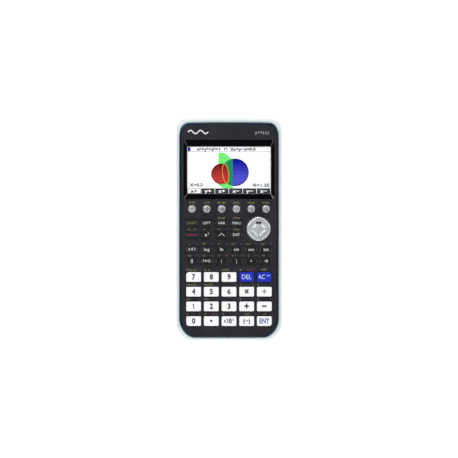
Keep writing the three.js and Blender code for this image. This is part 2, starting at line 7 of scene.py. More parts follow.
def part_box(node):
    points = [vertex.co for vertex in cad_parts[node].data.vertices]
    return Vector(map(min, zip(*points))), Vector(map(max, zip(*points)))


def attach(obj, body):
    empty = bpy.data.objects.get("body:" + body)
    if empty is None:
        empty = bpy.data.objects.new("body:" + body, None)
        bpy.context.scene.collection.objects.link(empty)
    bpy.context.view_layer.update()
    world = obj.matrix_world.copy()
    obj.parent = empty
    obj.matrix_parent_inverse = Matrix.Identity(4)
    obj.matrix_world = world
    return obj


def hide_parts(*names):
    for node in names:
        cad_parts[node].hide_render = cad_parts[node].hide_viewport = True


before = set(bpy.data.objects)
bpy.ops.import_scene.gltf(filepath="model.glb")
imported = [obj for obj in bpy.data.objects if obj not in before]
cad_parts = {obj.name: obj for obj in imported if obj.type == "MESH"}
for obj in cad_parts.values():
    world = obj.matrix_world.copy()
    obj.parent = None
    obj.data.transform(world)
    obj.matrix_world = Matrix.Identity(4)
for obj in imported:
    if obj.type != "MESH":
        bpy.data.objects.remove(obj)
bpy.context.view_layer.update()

# Lengths in this script are millimetres until a mesh is made.
MM = 0.001
SCENE = bpy.context.scene
CASE = "case"


# ---- places, from the frame

class Rect:
    """A plain rectangle in the plane of the face."""

    def __init__(self, left, bottom, right, top):
        self.left = left
        self.bottom = bottom
        self.right = right
        self.top = top
        self.x = (left + right) / 2
        self.y = (bottom + top) / 2

    def grown(self, across, along=None):
        along = across if along is None else along
        return Rect(self.left - across, self.bottom - along, self.right + across, self.top + along)


class Box(Rect):
    """A CAD node's box at rest, in millimetres, with its base and its height."""

    def __init__(self, node):
        low, high = ([value / MM for value in corner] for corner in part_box(node))
        super().__init__(*low[:2], *high[:2])
        self.base = low[2]
        self.height = high[2]
        self.z = (self.base + self.height) / 2


FACE = Box("front_cover")
REAR = Box("rear_cover")
WINDOW = Box("display_window")
PANEL = Box("display_panel")
LID = Box("battery_cover")
PAD = Box("cursor_pad")
USB = Box("usb_socket")
BOARD = Box("circuit_board")
CELLS = [Box(f"battery_{number}") for number in range(1, 5)]

# Sizes that the boxes don't hold. A corner is (across, along, power of its curve), and an inset
# is (from the side, from the end).
TOP_BOW = 0.5
TOP_CORNER = (12, 16.8, 3.3)
BOTTOM_CORNER = (14, 16.8, 2)
WALL = 2
FACE_THICKNESS = 1.8
FACE_BEVEL = (1.8, 1.9)             # across, down
WINDOW_LEDGE = 1.2
RECESS_SLOPE = {"side": 2.6, "top": 4.9, "bottom": 3.9}
RECESS_LIP = 0.3
KEY_FLANGE = 0.8
KEY_FLANGE_THICKNESS = 0.7
KEY_CLEARANCE = 0.35
PAD_FLANGE = 1
PAD_CLEARANCE = 0.6
FOOT_HEIGHT = 0.5
FLOOR_THICKNESS = 2
LOWER_ROUND = (5, 7)                # across, up
SHOULDER = 4
BAY_WALL = 1.2
COVER_LEDGE = 2
COVER_CLEARANCE = 0.35
TONGUE = (14, 4)                    # width, length
NOTCH = (18, 5, 1.2)                # width, length, depth
BOSS_INSET = (10.5, 24.25)
BOSS_RADIUS = 2.6
SCREW_HOLE_RADIUS = 1
SCREW_HEAD = (2.3, 1.2)             # radius and depth of its hole
FOOT_INSET = (14.5, 10.25)
JACK_X = -4
JACK_RADIUS = 1.9
SOCKET_GAP = 0.4

NUMBER_KEY_TOP = Box("key_7").height
face_underside = FACE.height - FACE_THICKNESS
parting = REAR.height
opening = WINDOW.grown(-WINDOW_LEDGE)
recess = Rect(
    opening.left - RECESS_SLOPE["side"],
    opening.bottom - RECESS_SLOPE["bottom"],
    opening.right + RECESS_SLOPE["side"],
    opening.top + RECESS_SLOPE["top"],
)
pad_radius = (PAD.right - PAD.left) / 2 - PAD_FLANGE


# ---- outlines

def outline(rect, corners, steps, edge_steps=1, bow=0):
    """Counter-clockwise outline whose corners (across, along, power) are superellipse quarters,
    in the order bottom right, top right, top left, bottom left."""
    points = []
    for index, (across, along, power) in enumerate(corners):
        right = index in (0, 1)
        top = index in (1, 2)
        centre_x = rect.right - across if right else rect.left + across
        centre_y = rect.top - along if top else rect.bottom + along
        for step in range(steps + 1):
            angle = (index - 1 + step / steps) * math.pi / 2
            x = abs(math.cos(angle)) ** (2 / power) * across
            y = abs(math.sin(angle)) ** (2 / power) * along
            points.append((centre_x + (x if right else -x), centre_y + (y if top else -y)))
        if index == 1:
            start = points[-1][0]
            end = rect.left + corners[2][0]
            for step in range(1, edge_steps):
                points.append((start + (end - start) * step / edge_steps, rect.top))
    half = (rect.right - rect.left) / 2
    bent = []
    for x, y in points:
        if bow and y > rect.top - corners[1][1]:
            y += bow * (1 - ((x - rect.x) / half) ** 2)
        bent.append((x, y))
    return bent


def rounded(rect, radii, steps=6):
    """Rectangle with round corners; radii is one number or four."""
    radii = [radii] * 4 if isinstance(radii, (int, float)) else radii
    return outline(rect, [(radius, radius, 2) for radius in radii], steps)


def circle(x, y, radius, sides):
    turns = [side * 2 * math.pi / sides for side in range(sides)]
    return [(x + radius * math.cos(turn), y + radius * math.sin(turn)) for turn in turns]


def scaled(points, rect, by):
    """The outline drawn in by a distance, by scaling it about its middle."""
    across = 1 - 2 * by / (rect.right - rect.left)
    along = 1 - 2 * by / (rect.top - rect.bottom)
    return [(rect.x + (x - rect.x) * across, rect.y + (y - rect.y) * along) for x, y in points]


def quarter_round(steps):
    """Shares (across, down) along a rounded edge, from its side to its top."""
    turns = [step / steps * math.pi / 2 for step in range(steps + 1)]
    return [(1 - math.cos(turn), 1 - math.sin(turn)) for turn in turns]


def between(first, second, share):
    return [
        (x0 + (x1 - x0) * share, y0 + (y1 - y0) * share)
        for (x0, y0), (x1, y1) in zip(first, second)
    ]


CASE_CORNERS = [BOTTOM_CORNER, TOP_CORNER, TOP_CORNER, BOTTOM_CORNER]
CORNER_STEPS = 24
TOP_EDGE_STEPS = 16


def case_outline(box):
    """A cover's rectangle, and its outline with the top edge bowed out."""
    rect = Rect(box.left, box.bottom, box.right, box.top - TOP_BOW)
    return rect, outline(rect, CASE_CORNERS, CORNER_STEPS, TOP_EDGE_STEPS, TOP_BOW)


face_rect, face_outline = case_outline(FACE)
rear_rect, rear_outline = case_outline(REAR)


def face_at(by):
    """The front cover's outline drawn in by a distance."""
    return scaled(face_outline, face_rect, by)


# ---- mesh building

SLIVER = 1e-9
SHARP_ANGLE = math.radians(38)


def turn_of(corners):
    """Twice the area inside flat corners, positive when they run anticlockwise."""
    following = corners[1:] + corners[:1]
    return sum(x0 * y1 - x1 * y0 for (x0, y0), (x1, y1) in zip(corners, following))


class Surface:
    """Points and faces of one mesh, put together from rings, bands and caps."""

    def __init__(self):
        self.points = []
        self.faces = []
        self.kinds = []

    def face(self, corners, kind=0):
        self.faces.append(tuple(corners))
        self.kinds.append(kind)

    def ring(self, outline_points, z):
        first = len(self.points)
        self.points += [(x, y, z) for x, y in outline_points]
        return list(range(first, len(self.points)))

    def band(self, low, high, kind=0):
        for side, corner in enumerate(low):
            following = (side + 1) % len(low)
            self.face((corner, low[following], high[following], high[side]), kind)

    def stack(self, rings, kind=0):
        """Bands through a list of (outline, height); returns the first and the last ring."""
        made = [self.ring(points, z) for points, z in rings]
        for low, high in zip(made, made[1:]):
            self.band(low, high, kind)
        return made[0], made[-1]

    def cap(self, loops, up):
        """Flat cap over the first loop, open where the other loops are."""
        flat = [index for loop in loops for index in loop]
        vectors = [[Vector(self.points[index]) for index in loop] for loop in loops]
        for triangle in geometry.tessellate_polygon(vectors):
            a, b, c = (flat[corner] for corner in triangle)
            turn = turn_of([self.points[index][:2] for index in (a, b, c)])
            if abs(turn) > SLIVER:
                self.face((a, b, c) if (turn > 0) == up else (a, c, b))

    def fan(self, loop, centre, up=True):
        """Closes a loop to one point; up when the loop runs anticlockwise as seen from outside."""
        for side, index in enumerate(loop):
            following = loop[(side + 1) % len(loop)]
            self.face((index, following, centre) if up else (following, index, centre))

    def add(self, points, faces, kind=0):
        first = len(self.points)
        self.points += points
        for face in faces:
            self.face((first + index for index in face), kind)

    def join(self, other, kind=0):
        self.add(other.points, other.faces, kind)

    def mesh(self, name, materials=()):
        mesh = bpy.data.meshes.new(name)
        mesh.from_pydata([(x * MM, y * MM, z * MM) for x, y, z in self.points], [], self.faces)
        for material in materials:
            mesh.materials.append(bpy.data.materials[material])
        mesh.polygons.foreach_set("material_index", self.kinds)
        mesh.validate()
        mesh.update()
        return mesh


def linked(name, data):
    made = bpy.data.objects.new(name, data)
    SCENE.collection.objects.link(made)
    return made


def piece(name, surface, materials, body, replaces=()):
    """Makes a smooth-shaded piece that rides on a body, from a surface or a carved mesh.
    materials are their names."""
    if isinstance(surface, Surface):
        mesh = surface.mesh(name, materials)
    else:
        mesh = surface
        for material in materials:
            mesh.materials.append(bpy.data.materials[material])
    mesh.polygons.foreach_set("use_smooth", [True] * len(mesh.polygons))
    mesh.set_sharp_from_angle(angle=SHARP_ANGLE)
    mesh.update()
    made = linked(name, mesh)
    weighted = made.modifiers.new("even_normals", "WEIGHTED_NORMAL")
    weighted.keep_sharp = True
    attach(made, body)
    if replaces:
        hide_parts(*replaces)


def carved(solid, cutters):
    """Mesh of a closed surface with closed cutters taken out of it."""
    block = linked("block", solid.mesh("block"))
    tools = [linked("tool", cutter.mesh("tool")) for cutter in cutters]
    for tool in tools:
        cut = block.modifiers.new("cut", "BOOLEAN")
        cut.object = tool
        cut.operation = "DIFFERENCE"
        cut.solver = "MANIFOLD"
    bpy.context.view_layer.update()
    evaluated = block.evaluated_get(bpy.context.evaluated_depsgraph_get())
    mesh = bpy.data.meshes.new_from_object(evaluated)
    for made in [block, *tools]:
        old = made.data
        bpy.data.objects.remove(made)
        bpy.data.meshes.remove(old)
    mesh.materials.clear()
    return mesh


def solid_stack(rings):
    """Closed surface through a list of (outline, height) with flat ends."""
    surface = Surface()
    first, last = surface.stack(rings)
    surface.cap([first], False)
    surface.cap([last], True)
    return surface


def prism(points, low, high):
    return solid_stack([(points, low), (points, high)])


def eased_plate(rect, radius, low, high):
    """Flat plate with its edges eased above and below."""
    ease = 0.1
    inner = rounded(rect.grown(-ease), radius - ease, 4)
    outer = rounded(rect, radius, 4)
    return solid_stack([(inner, low), (outer, low + ease), (outer, high - ease), (inner, high)])


def turned(profile, sides, place, axis="z", kinds=None):
    """Surface of revolution of (radius, height) pairs; a radius of 0 closes an end.
    kinds gives each stretch of the profile its material number."""
    surface = Surface()
    rings = []
    for radius, height in profile:
        rings.append(surface.ring(circle(0, 0, radius, sides) if radius > 0 else [(0, 0)], height))
    for low, high in zip(rings, rings[1:]):
        if len(low) == len(high) > 1:
            surface.band(low, high)
        elif len(low) < len(high):
            surface.fan(high, low[0], False)
        elif len(low) > len(high):
            surface.fan(low, high[0])
    if kinds:
        surface.kinds = [kind for kind in kinds for side in range(sides)]
    if axis == "y":
        surface.points = [(x, z, -y) for x, y, z in surface.points]
    x0, y0, z0 = place
    surface.points = [(x0 + x, y0 + y, z0 + z) for x, y, z in surface.points]
    return surface


# ---- lettering and line work

CAP_HEIGHT = 0.69


def lettering(text, height, width, weight=0):
    """Points and faces of a line of text about its own middle, cap height in millimetres."""
    curve = bpy.data.curves.new("lettering", "FONT")
    curve.body = text
    curve.resolution_u = 2
    curve.offset = weight
    made = linked("lettering", curve)
    bpy.context.view_layer.update()
    mesh = made.to_mesh()
    points = [(corner.co.x, corner.co.y) for corner in mesh.vertices]
    faces = [tuple(face.vertices) for face in mesh.polygons]
    made.to_mesh_clear()
    bpy.data.objects.remove(made)
    bpy.data.curves.remove(curve)
    left = min(x for x, y in points)
    right = max(x for x, y in points)
    up = height / CAP_HEIGHT
    across = width / (right - left)
    middle = (left + right) / 2
    return [((x - middle) * across, (y - CAP_HEIGHT / 2) * up) for x, y in points], faces


def ribbon(line, width, closed=False):
    """Points and faces of a flat stroke along a line of points."""
    points = []
    faces = []
    count = len(line)
    for index, (x, y) in enumerate(line):
        before = line[(index - 1) % count] if closed or index else line[index]
        after = line[(index + 1) % count] if closed or index < count - 1 else line[index]
        dx, dy = after[0] - before[0], after[1] - before[1]
        length = math.hypot(dx, dy)
        ox, oy = -dy / length * width / 2, dx / length * width / 2
        points += [(x - ox, y - oy), (x + ox, y + oy)]
    for index in range(count if closed else count - 1):
        after = (index + 1) % count
        faces.append((2 * index, 2 * after, 2 * after + 1, 2 * index + 1))
    return points, faces


def region(loop):
    """Points and faces of a flat filled outline."""
    triangles = geometry.tessellate_polygon([[Vector((x, y, 0)) for x, y in loop]])
    return list(loop), [tuple(triangle) for triangle in triangles]


def spun(u, v, turn, x=0, y=0):
    """A point turned about the origin and then moved by (x, y)."""
    cos, sin = math.cos(turn), math.sin(turn)
    return x + u * cos - v * sin, y + u * sin + v * cos


def ellipse(x, y, across, along, lean, sides):
    turns = [side * 2 * math.pi / sides for side in range(sides)]
    return [spun(across * math.cos(turn), along * math.sin(turn), lean, x, y) for turn in turns]


def joined(*parts):
    """One flat shape from several, each (shape, x, y)."""
    points = []
    faces = []
    for (part_points, part_faces), x, y in parts:
        first = len(points)
        points += [(x + px, y + py) for px, py in part_points]
        faces += [tuple(first + index for index in face) for face in part_faces]
    return points, faces


class Sheet(Surface):
    """Flat shapes at chosen heights, each with a material number."""

    def lay(self, shape, z, kind=0, x=0, y=0):
        points, faces = shape
        upward = []
        for face in faces:
            anticlockwise = turn_of([points[corner] for corner in face]) > 0
            upward.append(face if anticlockwise else tuple(reversed(face)))
        self.add([(x + px, y + py, z) for px, py in points], upward, kind)


# ---- materials

def linear(colour):
    """Linear RGBA of an 8-bit sRGB colour."""
    shares = [value / 255 for value in colour]
    return (*[s / 12.92 if s <= 0.04045 else ((s + 0.055) / 1.055) ** 2.4 for s in shares], 1)


# Sockets of a mix node that share a name with others, and so go by number.
FIRST_COLOUR = 6
SECOND_COLOUR = 7
MIXED_COLOUR = 2
BLACK = (0, 0, 0, 1)


class Finish:
    """A material made of nodes, whose textures are laid out in millimetres on the piece."""

    def __init__(self, name):
        self.material = bpy.data.materials.new(name)
        self.material.use_nodes = True
        self.tree = self.material.node_tree
        self.shader = self.tree.nodes["Principled BSDF"]
        coordinates = self.node("ShaderNodeTexCoord", {})
        self.place = self.stretched(coordinates.outputs["Object"], (1 / MM, 1 / MM, 1 / MM))

    def give(self, node, inputs):
        """Fills a node's inputs, by name or number: a socket is linked, a value is set."""
        for name, value in inputs.items():
            if isinstance(value, bpy.types.NodeSocket):
                self.tree.links.new(value, node.inputs[name])
            else:
                node.inputs[name].default_value = value

    def node(self, kind, inputs):
        made = self.tree.nodes.new(kind)
        self.give(made, inputs)
        return made

    def stretched(self, vector, scale):
        return self.node("ShaderNodeMapping", {"Vector": vector, "Scale": scale}).outputs["Vector"]

    def noise(self, scale, detail=2, stretch=None):
        place = self.stretched(self.place, stretch) if stretch else self.place
        inputs = {"Vector": place, "Scale": scale, "Detail": detail}
        return self.node("ShaderNodeTexNoise", inputs).outputs["Fac"]

    def remap(self, value, low, high, start=0.3, end=0.7):
        inputs = {"Value": value, "From Min": start, "From Max": end, "To Min": low, "To Max": high}
        return self.node("ShaderNodeMapRange", inputs).outputs["Result"]

    def mix(self, share, first, second):
        """Colour between two; each of the three is a value or a socket."""
        node = self.tree.nodes.new("ShaderNodeMix")
        node.data_type = "RGBA"
        self.give(node, {"Factor": share, FIRST_COLOUR: first, SECOND_COLOUR: second})
        return node.outputs[MIXED_COLOUR]

    def along(self, axis):
        """Distance along X, Y or Z on the piece."""
        return self.node("ShaderNodeSeparateXYZ", {"Vector": self.place}).outputs[axis]

    def worn_edges(self):
        """Share that is 1 on sharp outer edges."""
        shape = self.node("ShaderNodeNewGeometry", {})
        return self.remap(shape.outputs["Pointiness"], 0, 1, 0.53, 0.62)

    def done(self, grain, depth, inputs):
        """Fills in the shader, adds the grain as a bump and returns the material."""
        bump = self.node("ShaderNodeBump", {"Height": grain, "Strength": 1, "Distance": depth * MM})
        self.give(self.shader, {**inputs, "Normal": bump.outputs["Normal"]})
        return self.material


def shade(colour, by):
    return tuple(min(1, value * by) for value in colour[:3]) + (1,)


def moulded(name, colour, roughness, grain, depth, spread, wear=0, gloss=0.5,
            tint=(1, 1, 1, 1), upper=None):
    """Moulded plastic or paint: a fine grain, slow drift in tone and paler sharp edges, partly edge wear
    and partly a painted highlight.
    grain and depth are in millimetres, spread is how far the tone drifts,
    upper is (start, end, colour) of a second tone that takes over with height: painted light and shade,
    set by height on the piece."""
    made = Finish(name)
    base = linear(colour)
    slow = made.noise(0.05, 3)
    fine = made.noise(1 / grain, 3)
    drift, speck = (
        made.mix(made.remap(texture, 0, 1), shade(base, 1 - spread), shade(base, 1 + spread))
        for texture in (slow, fine)
    )
    tone = made.mix(0.5, drift, speck)
    # The tone by height is painted light and shade: darker lower flanks on the white keys, a bluish cast
    # on the shell's shoulder near the face.
    if upper:
        tone = made.mix(made.remap(made.along("Z"), 0, 1, *upper[:2]), tone, linear(upper[2]))
    # Paler sharp edges, partly edge wear and partly a painted highlight along the edges.
    if wear:
        share = made.node("ShaderNodeMath", {0: made.worn_edges(), 1: wear})
        share.operation = "MULTIPLY"
        lighter = tuple(value + (1 - value) * 0.35 for value in base[:3]) + (1,)
        tone = made.mix(share.outputs[0], tone, lighter)
    return made.done(fine, depth, {
        "Base Color": tone,
        "Roughness": made.remap(slow, roughness * 0.9, roughness * 1.12),
        "Specular IOR Level": gloss,
        "Specular Tint": tint,
    })


def metal(name, colour, roughness, stretch=None, share=1):
    """Bare or plated metal with faint brushing or handling marks."""
    made = Finish(name)
    base = linear(colour)
    marks = made.noise(1.6, 4, stretch)
    slow = made.noise(0.16)
    return made.done(marks, 0.004, {
        "Base Color": made.mix(made.remap(slow, 0, 1), shade(base, 0.86), shade(base, 1.1)),
        "Roughness": made.remap(marks, roughness * 0.75, roughness * 1.3),
        "Metallic": share,
    })


def ink(name, colour, roughness=0.5, glow=0, fade=None):
    """Printed ink with small differences in cover, or a lit part of the screen.
    fade is (start, end, colour at the end) along the length of the case."""
    made = Finish(name)
    tone = linear(colour)
    if fade:
        tone = made.mix(made.remap(made.along("Y"), 0, 1, *fade[:2]), tone, linear(fade[2]))
    cover = made.noise(3, 3)
    tone = made.mix(made.remap(cover, 0.1, 0), tone, BLACK)
    lit = {}
    if glow:
        dots = made.node("ShaderNodeTexWave", {"Vector": made.place, "Scale": 1.7, "Distortion": 0})
        dots.bands_direction = "X"
        tone = made.mix(made.remap(dots.outputs["Fac"], 0.06, 0, 0, 1), tone, BLACK)
        lit = {"Emission Color": tone, "Emission Strength": glow, "Specular IOR Level": 0.1}
    return made.done(cover, 0.004, {
        "Base Color": tone,
        "Roughness": made.remap(cover, roughness * 0.9, roughness * 1.1),
        **lit,
    })


def clear_pane():
    made = Finish("clear_pane")
    smears = made.noise(0.12, 3)
    dark, pale = (0.02, 0.022, 0.025, 1), (0.04, 0.042, 0.045, 1)
    return made.done(smears, 0.002, {
        "Base Color": made.mix(made.remap(smears, 0, 1), dark, pale),
        "Roughness": made.remap(smears, 0.03, 0.07),
        "Alpha": 0.05,
    })


# Each moulded finish has its colour, roughness, size and depth of grain, and spread of tone.
moulded("face_black", (32, 31, 36), 0.55, 1.3, 0.05, 0.4, gloss=0.2)
moulded("edge_blue", (6, 18, 30), 0.3, 2, 0.004, 0.2, gloss=0.35, tint=(0.35, 0.75, 1, 1))
moulded("recess_black", (2, 2, 3), 0.14, 3, 0.002, 0.2, gloss=0.09)
# The mitre corners of the recess are paler than its walls: a painted glint, besides their higher gloss.
moulded("mitre_painted_glint", (24, 24, 26), 0.3, 2, 0.002, 0.2, gloss=0.6)
# The shell turns bluish on its shoulder near the face: a painted cast of light.
moulded("shell_white", (208, 211, 211), 0.4, 0.5, 0.012, 0.03, gloss=0.3,
        upper=(12.3, 13.5, (206, 218, 219)))
# The black keys' strong paler edges are partly wear and partly a painted edge highlight.
moulded("key_black", (20, 20, 21), 0.34, 0.4, 0.008, 0.15, wear=0.35, gloss=0.26)
# Paler, glossy black for the left and right key edges: a painted highlight.
moulded("key_glint", (70, 70, 72), 0.3, 0.4, 0.004, 0.1, gloss=0.8)
# The white keys are darker below their top: painted shade on the flanks; only the top holds the key's own
# white.
moulded("key_white", (190, 190, 192), 0.4, 0.4, 0.006, 0.03, gloss=0.3,
        upper=(NUMBER_KEY_TOP - 0.75, NUMBER_KEY_TOP - 0.35, (231, 231, 231)))
moulded("key_blue", (30, 46, 164), 0.4, 0.4, 0.006, 0.06, wear=0.05, gloss=0.1)
moulded("rubber_grey", (140, 140, 146), 0.75, 0.5, 0.02, 0.08)
moulded("rubber_dark", (44, 44, 46), 0.85, 0.3, 0.03, 0.12)
moulded("pivot_black", (30, 30, 32), 0.5, 0.5, 0.01, 0.1)
moulded("board_green", (24, 84, 48), 0.35, 1.1, 0.02, 0.22)
moulded("cell_black", (26, 26, 28), 0.3, 3, 0.004, 0.1)
moulded("panel_grey", (12, 12, 14), 0.35, 1, 0.004, 0.1)
clear_pane()

metal("key_silver", (168, 168, 169), 0.4, (1, 0.15, 1), 0.55)
metal("pad_silver", (200, 201, 202), 0.34, (0.2, 1, 1), 0.6)
# Darker metal outside the raised diamond: painted shade on the pad's lowered corners.
metal("pad_rim_painted_shade", (160, 161, 163), 0.4, share=0.6)
metal("screw_steel", (120, 122, 126), 0.35)
metal("tinned_steel", (188, 190, 194), 0.28)
metal("cell_gold", (176, 140, 66), 0.3, share=0.7)

for name, colour in {
    "legend_white": (214, 214, 216),
    "legend_gold": (126, 117, 70),
    "legend_red": (140, 52, 88),
    "letter_rose": (106, 56, 88),
    "pad_mark": (24, 24, 26),
    "legend_dark": (58, 58, 62),
    "legend_blue": (40, 72, 150),
    "legend_pale": (188, 198, 236),
    "legend_grey": (178, 178, 184),
}.items():
    ink(name, colour)


# ---- keys: what is on each

# Key: lettering with its cap height and width in millimetres. Then the small print over the key
# with its width and its distance from the middle, and the letter to the right of that.
BLACK_KEYS = {
    "shift": ("SHIFT", 2.2, 7.8),
    "options": ("OPT", 2.2, 6.4),
    "variables": ("VAR", 2.2, 6.2),
    "menu": ("MENU", 2.2, 6.8),
    "alpha": ("ALPHA", 2.2, 7.6),
    "square": ("x^2", 3.0, 4.2, "√", 1.8, -2.2, "r"),
    "power": ("^", 2.0, 5.0, "ⁿ√", 2.4, -2.2, "θ"),
    "exit": ("EXIT", 2.3, 5.8, "END", 4.6, 0, ""),
    "x_theta_t": ("X,θ,T", 2.3, 6.8, "∠", 1.8, -2.2, "A"),
    "log": ("log", 2.7, 4.8, "10ˣ", 3.0, -2.2, "B"),
    "ln": ("ln", 2.8, 2.6, "eˣ", 2.4, -2.2, "C"),
    "sin": ("sin", 2.7, 4.2, "sin⁻¹", 4.0, -2.2, "D"),
    "cos": ("cos", 2.7, 4.8, "cos⁻¹", 4.2, -2.2, "E"),
    "tan": ("tan", 2.7, 4.6, "tan⁻¹", 4.2, -2.2, "F"),
    "fraction": ("fraction", 3.4, 2.2, "c/d", 3.0, -2.2, "G"),
    "format": ("F⇔D", 2.3, 6.2, "±", 1.8, -2.2, "H"),
    "open_bracket": ("(", 2.8, 0.8, "³√", 2.4, -2.2, "I"),
    "close_bracket": (")", 2.8, 0.8, "x⁻¹", 2.8, -2.2, "J"),
    "comma": ("comma", 1.4, 0.6, "↕", 1.2, -2.2, "K"),
    "store": ("→", 3.0, 3.6, "→r", 2.8, -2.2, "L"),
}
NUMBER_KEYS = {
    "7": ("7", 4.3, 2.8, "Σ(x,y)", 8.6, -1.9, "M"),
    "8": ("8", 4.3, 2.9, "≤ ≥", 5.0, -3.6, "N"),
    "9": ("9", 4.3, 2.9, "n!/k!", 6.4, -2.9, "O"),
    "delete": ("DEL", 3.9, 8.0, "±", 2.2, -5.0, "x∈A"),
    "all_clear": ("AC", 3.9, 5.8, "OFF", 4.6, -0.2, ""),
    "4": ("4", 4.3, 3.0, "max{x}", 8.8, -1.8, "P"),
    "5": ("5", 4.3, 2.8, "min{x}", 7.8, -2.3, "Q"),
    "6": ("6", 4.3, 2.9, "", 0, 0, "R"),
    "multiply": ("×", 5.2, 3.8, "{", 0.9, -5.2, "S"),
    "divide": ("÷", 3.8, 3.8, "}", 0.9, -5.2, "T"),
    "1": ("1", 4.2, 1.2, "nCr", 3.8, -4.2, "U"),
    "2": ("2", 4.3, 2.9, "nPr", 4.0, -4.1, "V"),
    "3": ("3", 4.3, 2.8, "", 0, 0, "W"),
    "add": ("+", 5.2, 4.0, "[", 0.8, -5.2, "X"),
    "subtract": ("−", 5.2, 3.8, "]", 0.8, -5.2, "Y"),
    "0": ("0", 4.3, 3.0, "i", 0.5, -5.4, "Z"),
    "decimal_point": ("dot", 2.1, 2.1, "=", 1.8, -4.9, "{x|y}"),
    "exponent": ("×10^x", 3.9, 8.4, "π", 1.8, -4.9, '"'),
    "negate": ("(−)", 3.2, 6, "|x|", 3.4, 0, ""),
    "execute": ("ENT", 4.0, 8.4, "↵", 2.4, 0, ""),
}
# Keys whose lettering isn't in the ink of its block.
KEY_INK = {
    "shift": "legend_gold",
    "alpha": "legend_red",
    "delete": "legend_pale",
    "all_clear": "legend_pale",
    "execute": "legend_blue",
}
# How much the strokes of a key's lettering are thickened.
DIGIT_WEIGHT = 0.045
WORD_WEIGHT = {"delete": 0.005, "all_clear": 0.005, "execute": 0.03, "exponent": 0.05, "negate": 0.04}
KEY_CORNER = 0.9
OUTER_KEY_CORNER = 2.3
OUTER_CORNERS = {"execute": 0, "all_clear": 1, "7": 2, "0": 3}
INK = 0.03


def key_rect(name):
    """A rectangular key's outline at the top, inside its flange."""
    return Box(f"key_{name}").grown(-KEY_FLANGE, 0)


def key_outline(name, by):
    """A rectangular key's outline with round corners, drawn in by a distance."""
    radii = [KEY_CORNER] * 4
    if name in OUTER_CORNERS:
        radii[OUTER_CORNERS[name]] = OUTER_KEY_CORNER
    return rounded(key_rect(name).grown(-by), [max(0.25, radius - by / 2) for radius in radii])


def function_key(number):
    """Box and radius of a round key."""
    box = Box(f"key_f{number}")
    return box, (box.right - box.left) / 2 - KEY_FLANGE


# ---- front cover

def front_cover():
    """Shell with a rounded edge, a hole with an eased rim for each key, and the display recess."""
    surface = Surface()
    top = FACE.height
    across, down = FACE_BEVEL
    seam = parting + 0.05
    rings = [(face_at(WALL), face_underside), (face_at(WALL), seam), (face_at(0.1), seam)]
    rings.append((face_outline, parting + 0.15))
    rings += [(face_at(across * inward), top - down * drop) for inward, drop in quarter_round(10)]
    underside, edge = surface.stack(rings, 1)
    tops = [edge]
    undersides = [underside]

    def hole(outline_at):
        """Wall of a hole; outline_at gives its outline at a distance outside the hole."""
        wall = [(outline_at(0.14), top), (outline_at(0.04), top - 0.04), (outline_at(0), top - 0.14)]
        wall.append((outline_at(0), face_underside))
        upper, lower = surface.stack(wall)
        tops.append(upper)
        undersides.append(lower)

    for name in (*BLACK_KEYS, *NUMBER_KEYS):
        hole(lambda by: key_outline(name, -KEY_CLEARANCE - by))
    for number in range(1, 7):
        box, radius = function_key(number)
        hole(lambda by: circle(box.x, box.y, radius + KEY_CLEARANCE + by, 48))
    hole(lambda by: circle(PAD.x, PAD.y, pad_radius + PAD_CLEARANCE + by, 96))

    corner_steps = 4
    low = rounded(opening, 0.7, corner_steps)
    high = rounded(recess, 1.4, corner_steps)
    lip = face_underside + RECESS_LIP
    slope_start = len(surface.faces)
    upper, lower = surface.stack([
        (rounded(recess.grown(0.15), 1.5, corner_steps), top),
        (high, top - 0.06),
        (between(high, low, 0.04), top - 0.14),
        (between(high, low, 0.97), lip + 0.04),
        (low, lip - 0.04),
        (low, face_underside),
    ], 2)
    # The rounded corner faces of the slope take the mitre material, whose paler tone is a painted glint.
    for index in range(slope_start, len(surface.faces)):
        if (index - slope_start) % (corner_steps + 1) != corner_steps:
            surface.kinds[index] = 3
    surface.cap([*tops, upper], True)
    surface.cap([*undersides, lower], False)
    materials = ["face_black", "edge_blue", "recess_black", "mitre_painted_glint"]
    piece("front_shell", surface, materials, CASE, ["front_cover"])


front_cover()


# ---- rear cover

def mirrored(inset, ends):
    """Places on both sides, a distance in from the sides and the ends of the rear cover."""
    across, along = REAR.right - inset[0], REAR.top - inset[1]
    return [(side * across, end * along) for side in (-1, 1) for end in ends]


back = FOOT_HEIGHT
floor_top = back + FLOOR_THICKNESS
bay = Rect(LID.left, LID.bottom + TONGUE[1], LID.right, LID.top).grown(-COVER_LEDGE)
cover = bay.grown(COVER_LEDGE)
tongue = Rect(-TONGUE[0] / 2, cover.bottom - TONGUE[1], TONGUE[0] / 2, cover.bottom + 1)
notch = Rect(-NOTCH[0] / 2, tongue.bottom - NOTCH[1], NOTCH[0] / 2, tongue.bottom)
cell_top = CELLS[0].height
screw_places = mirrored(BOSS_INSET, (-1, 0, 1))
screw_seat = back + SCREW_HEAD[1]
SCREW_TIP = 8
RESET = (bay.left - 7.6, opening.y - 15.8)
RESET_RADIUS = 0.9


def flared(outline_at, high):
    """Cutter whose mouth at the back opens out slightly; outline_at takes a distance out."""
    rings = [(outline_at(1.3), back - 1), (outline_at(0.3), back), (outline_at(0), back + 0.3)]
    return solid_stack([*rings, (outline_at(0), high)])


def pocket(rect, radius, high):
    return flared(lambda by: rounded(rect.grown(by), radius + by), high)


def bore(x, y, radius, sides, high):
    return flared(lambda by: circle(x, y, radius + by, sides), high)


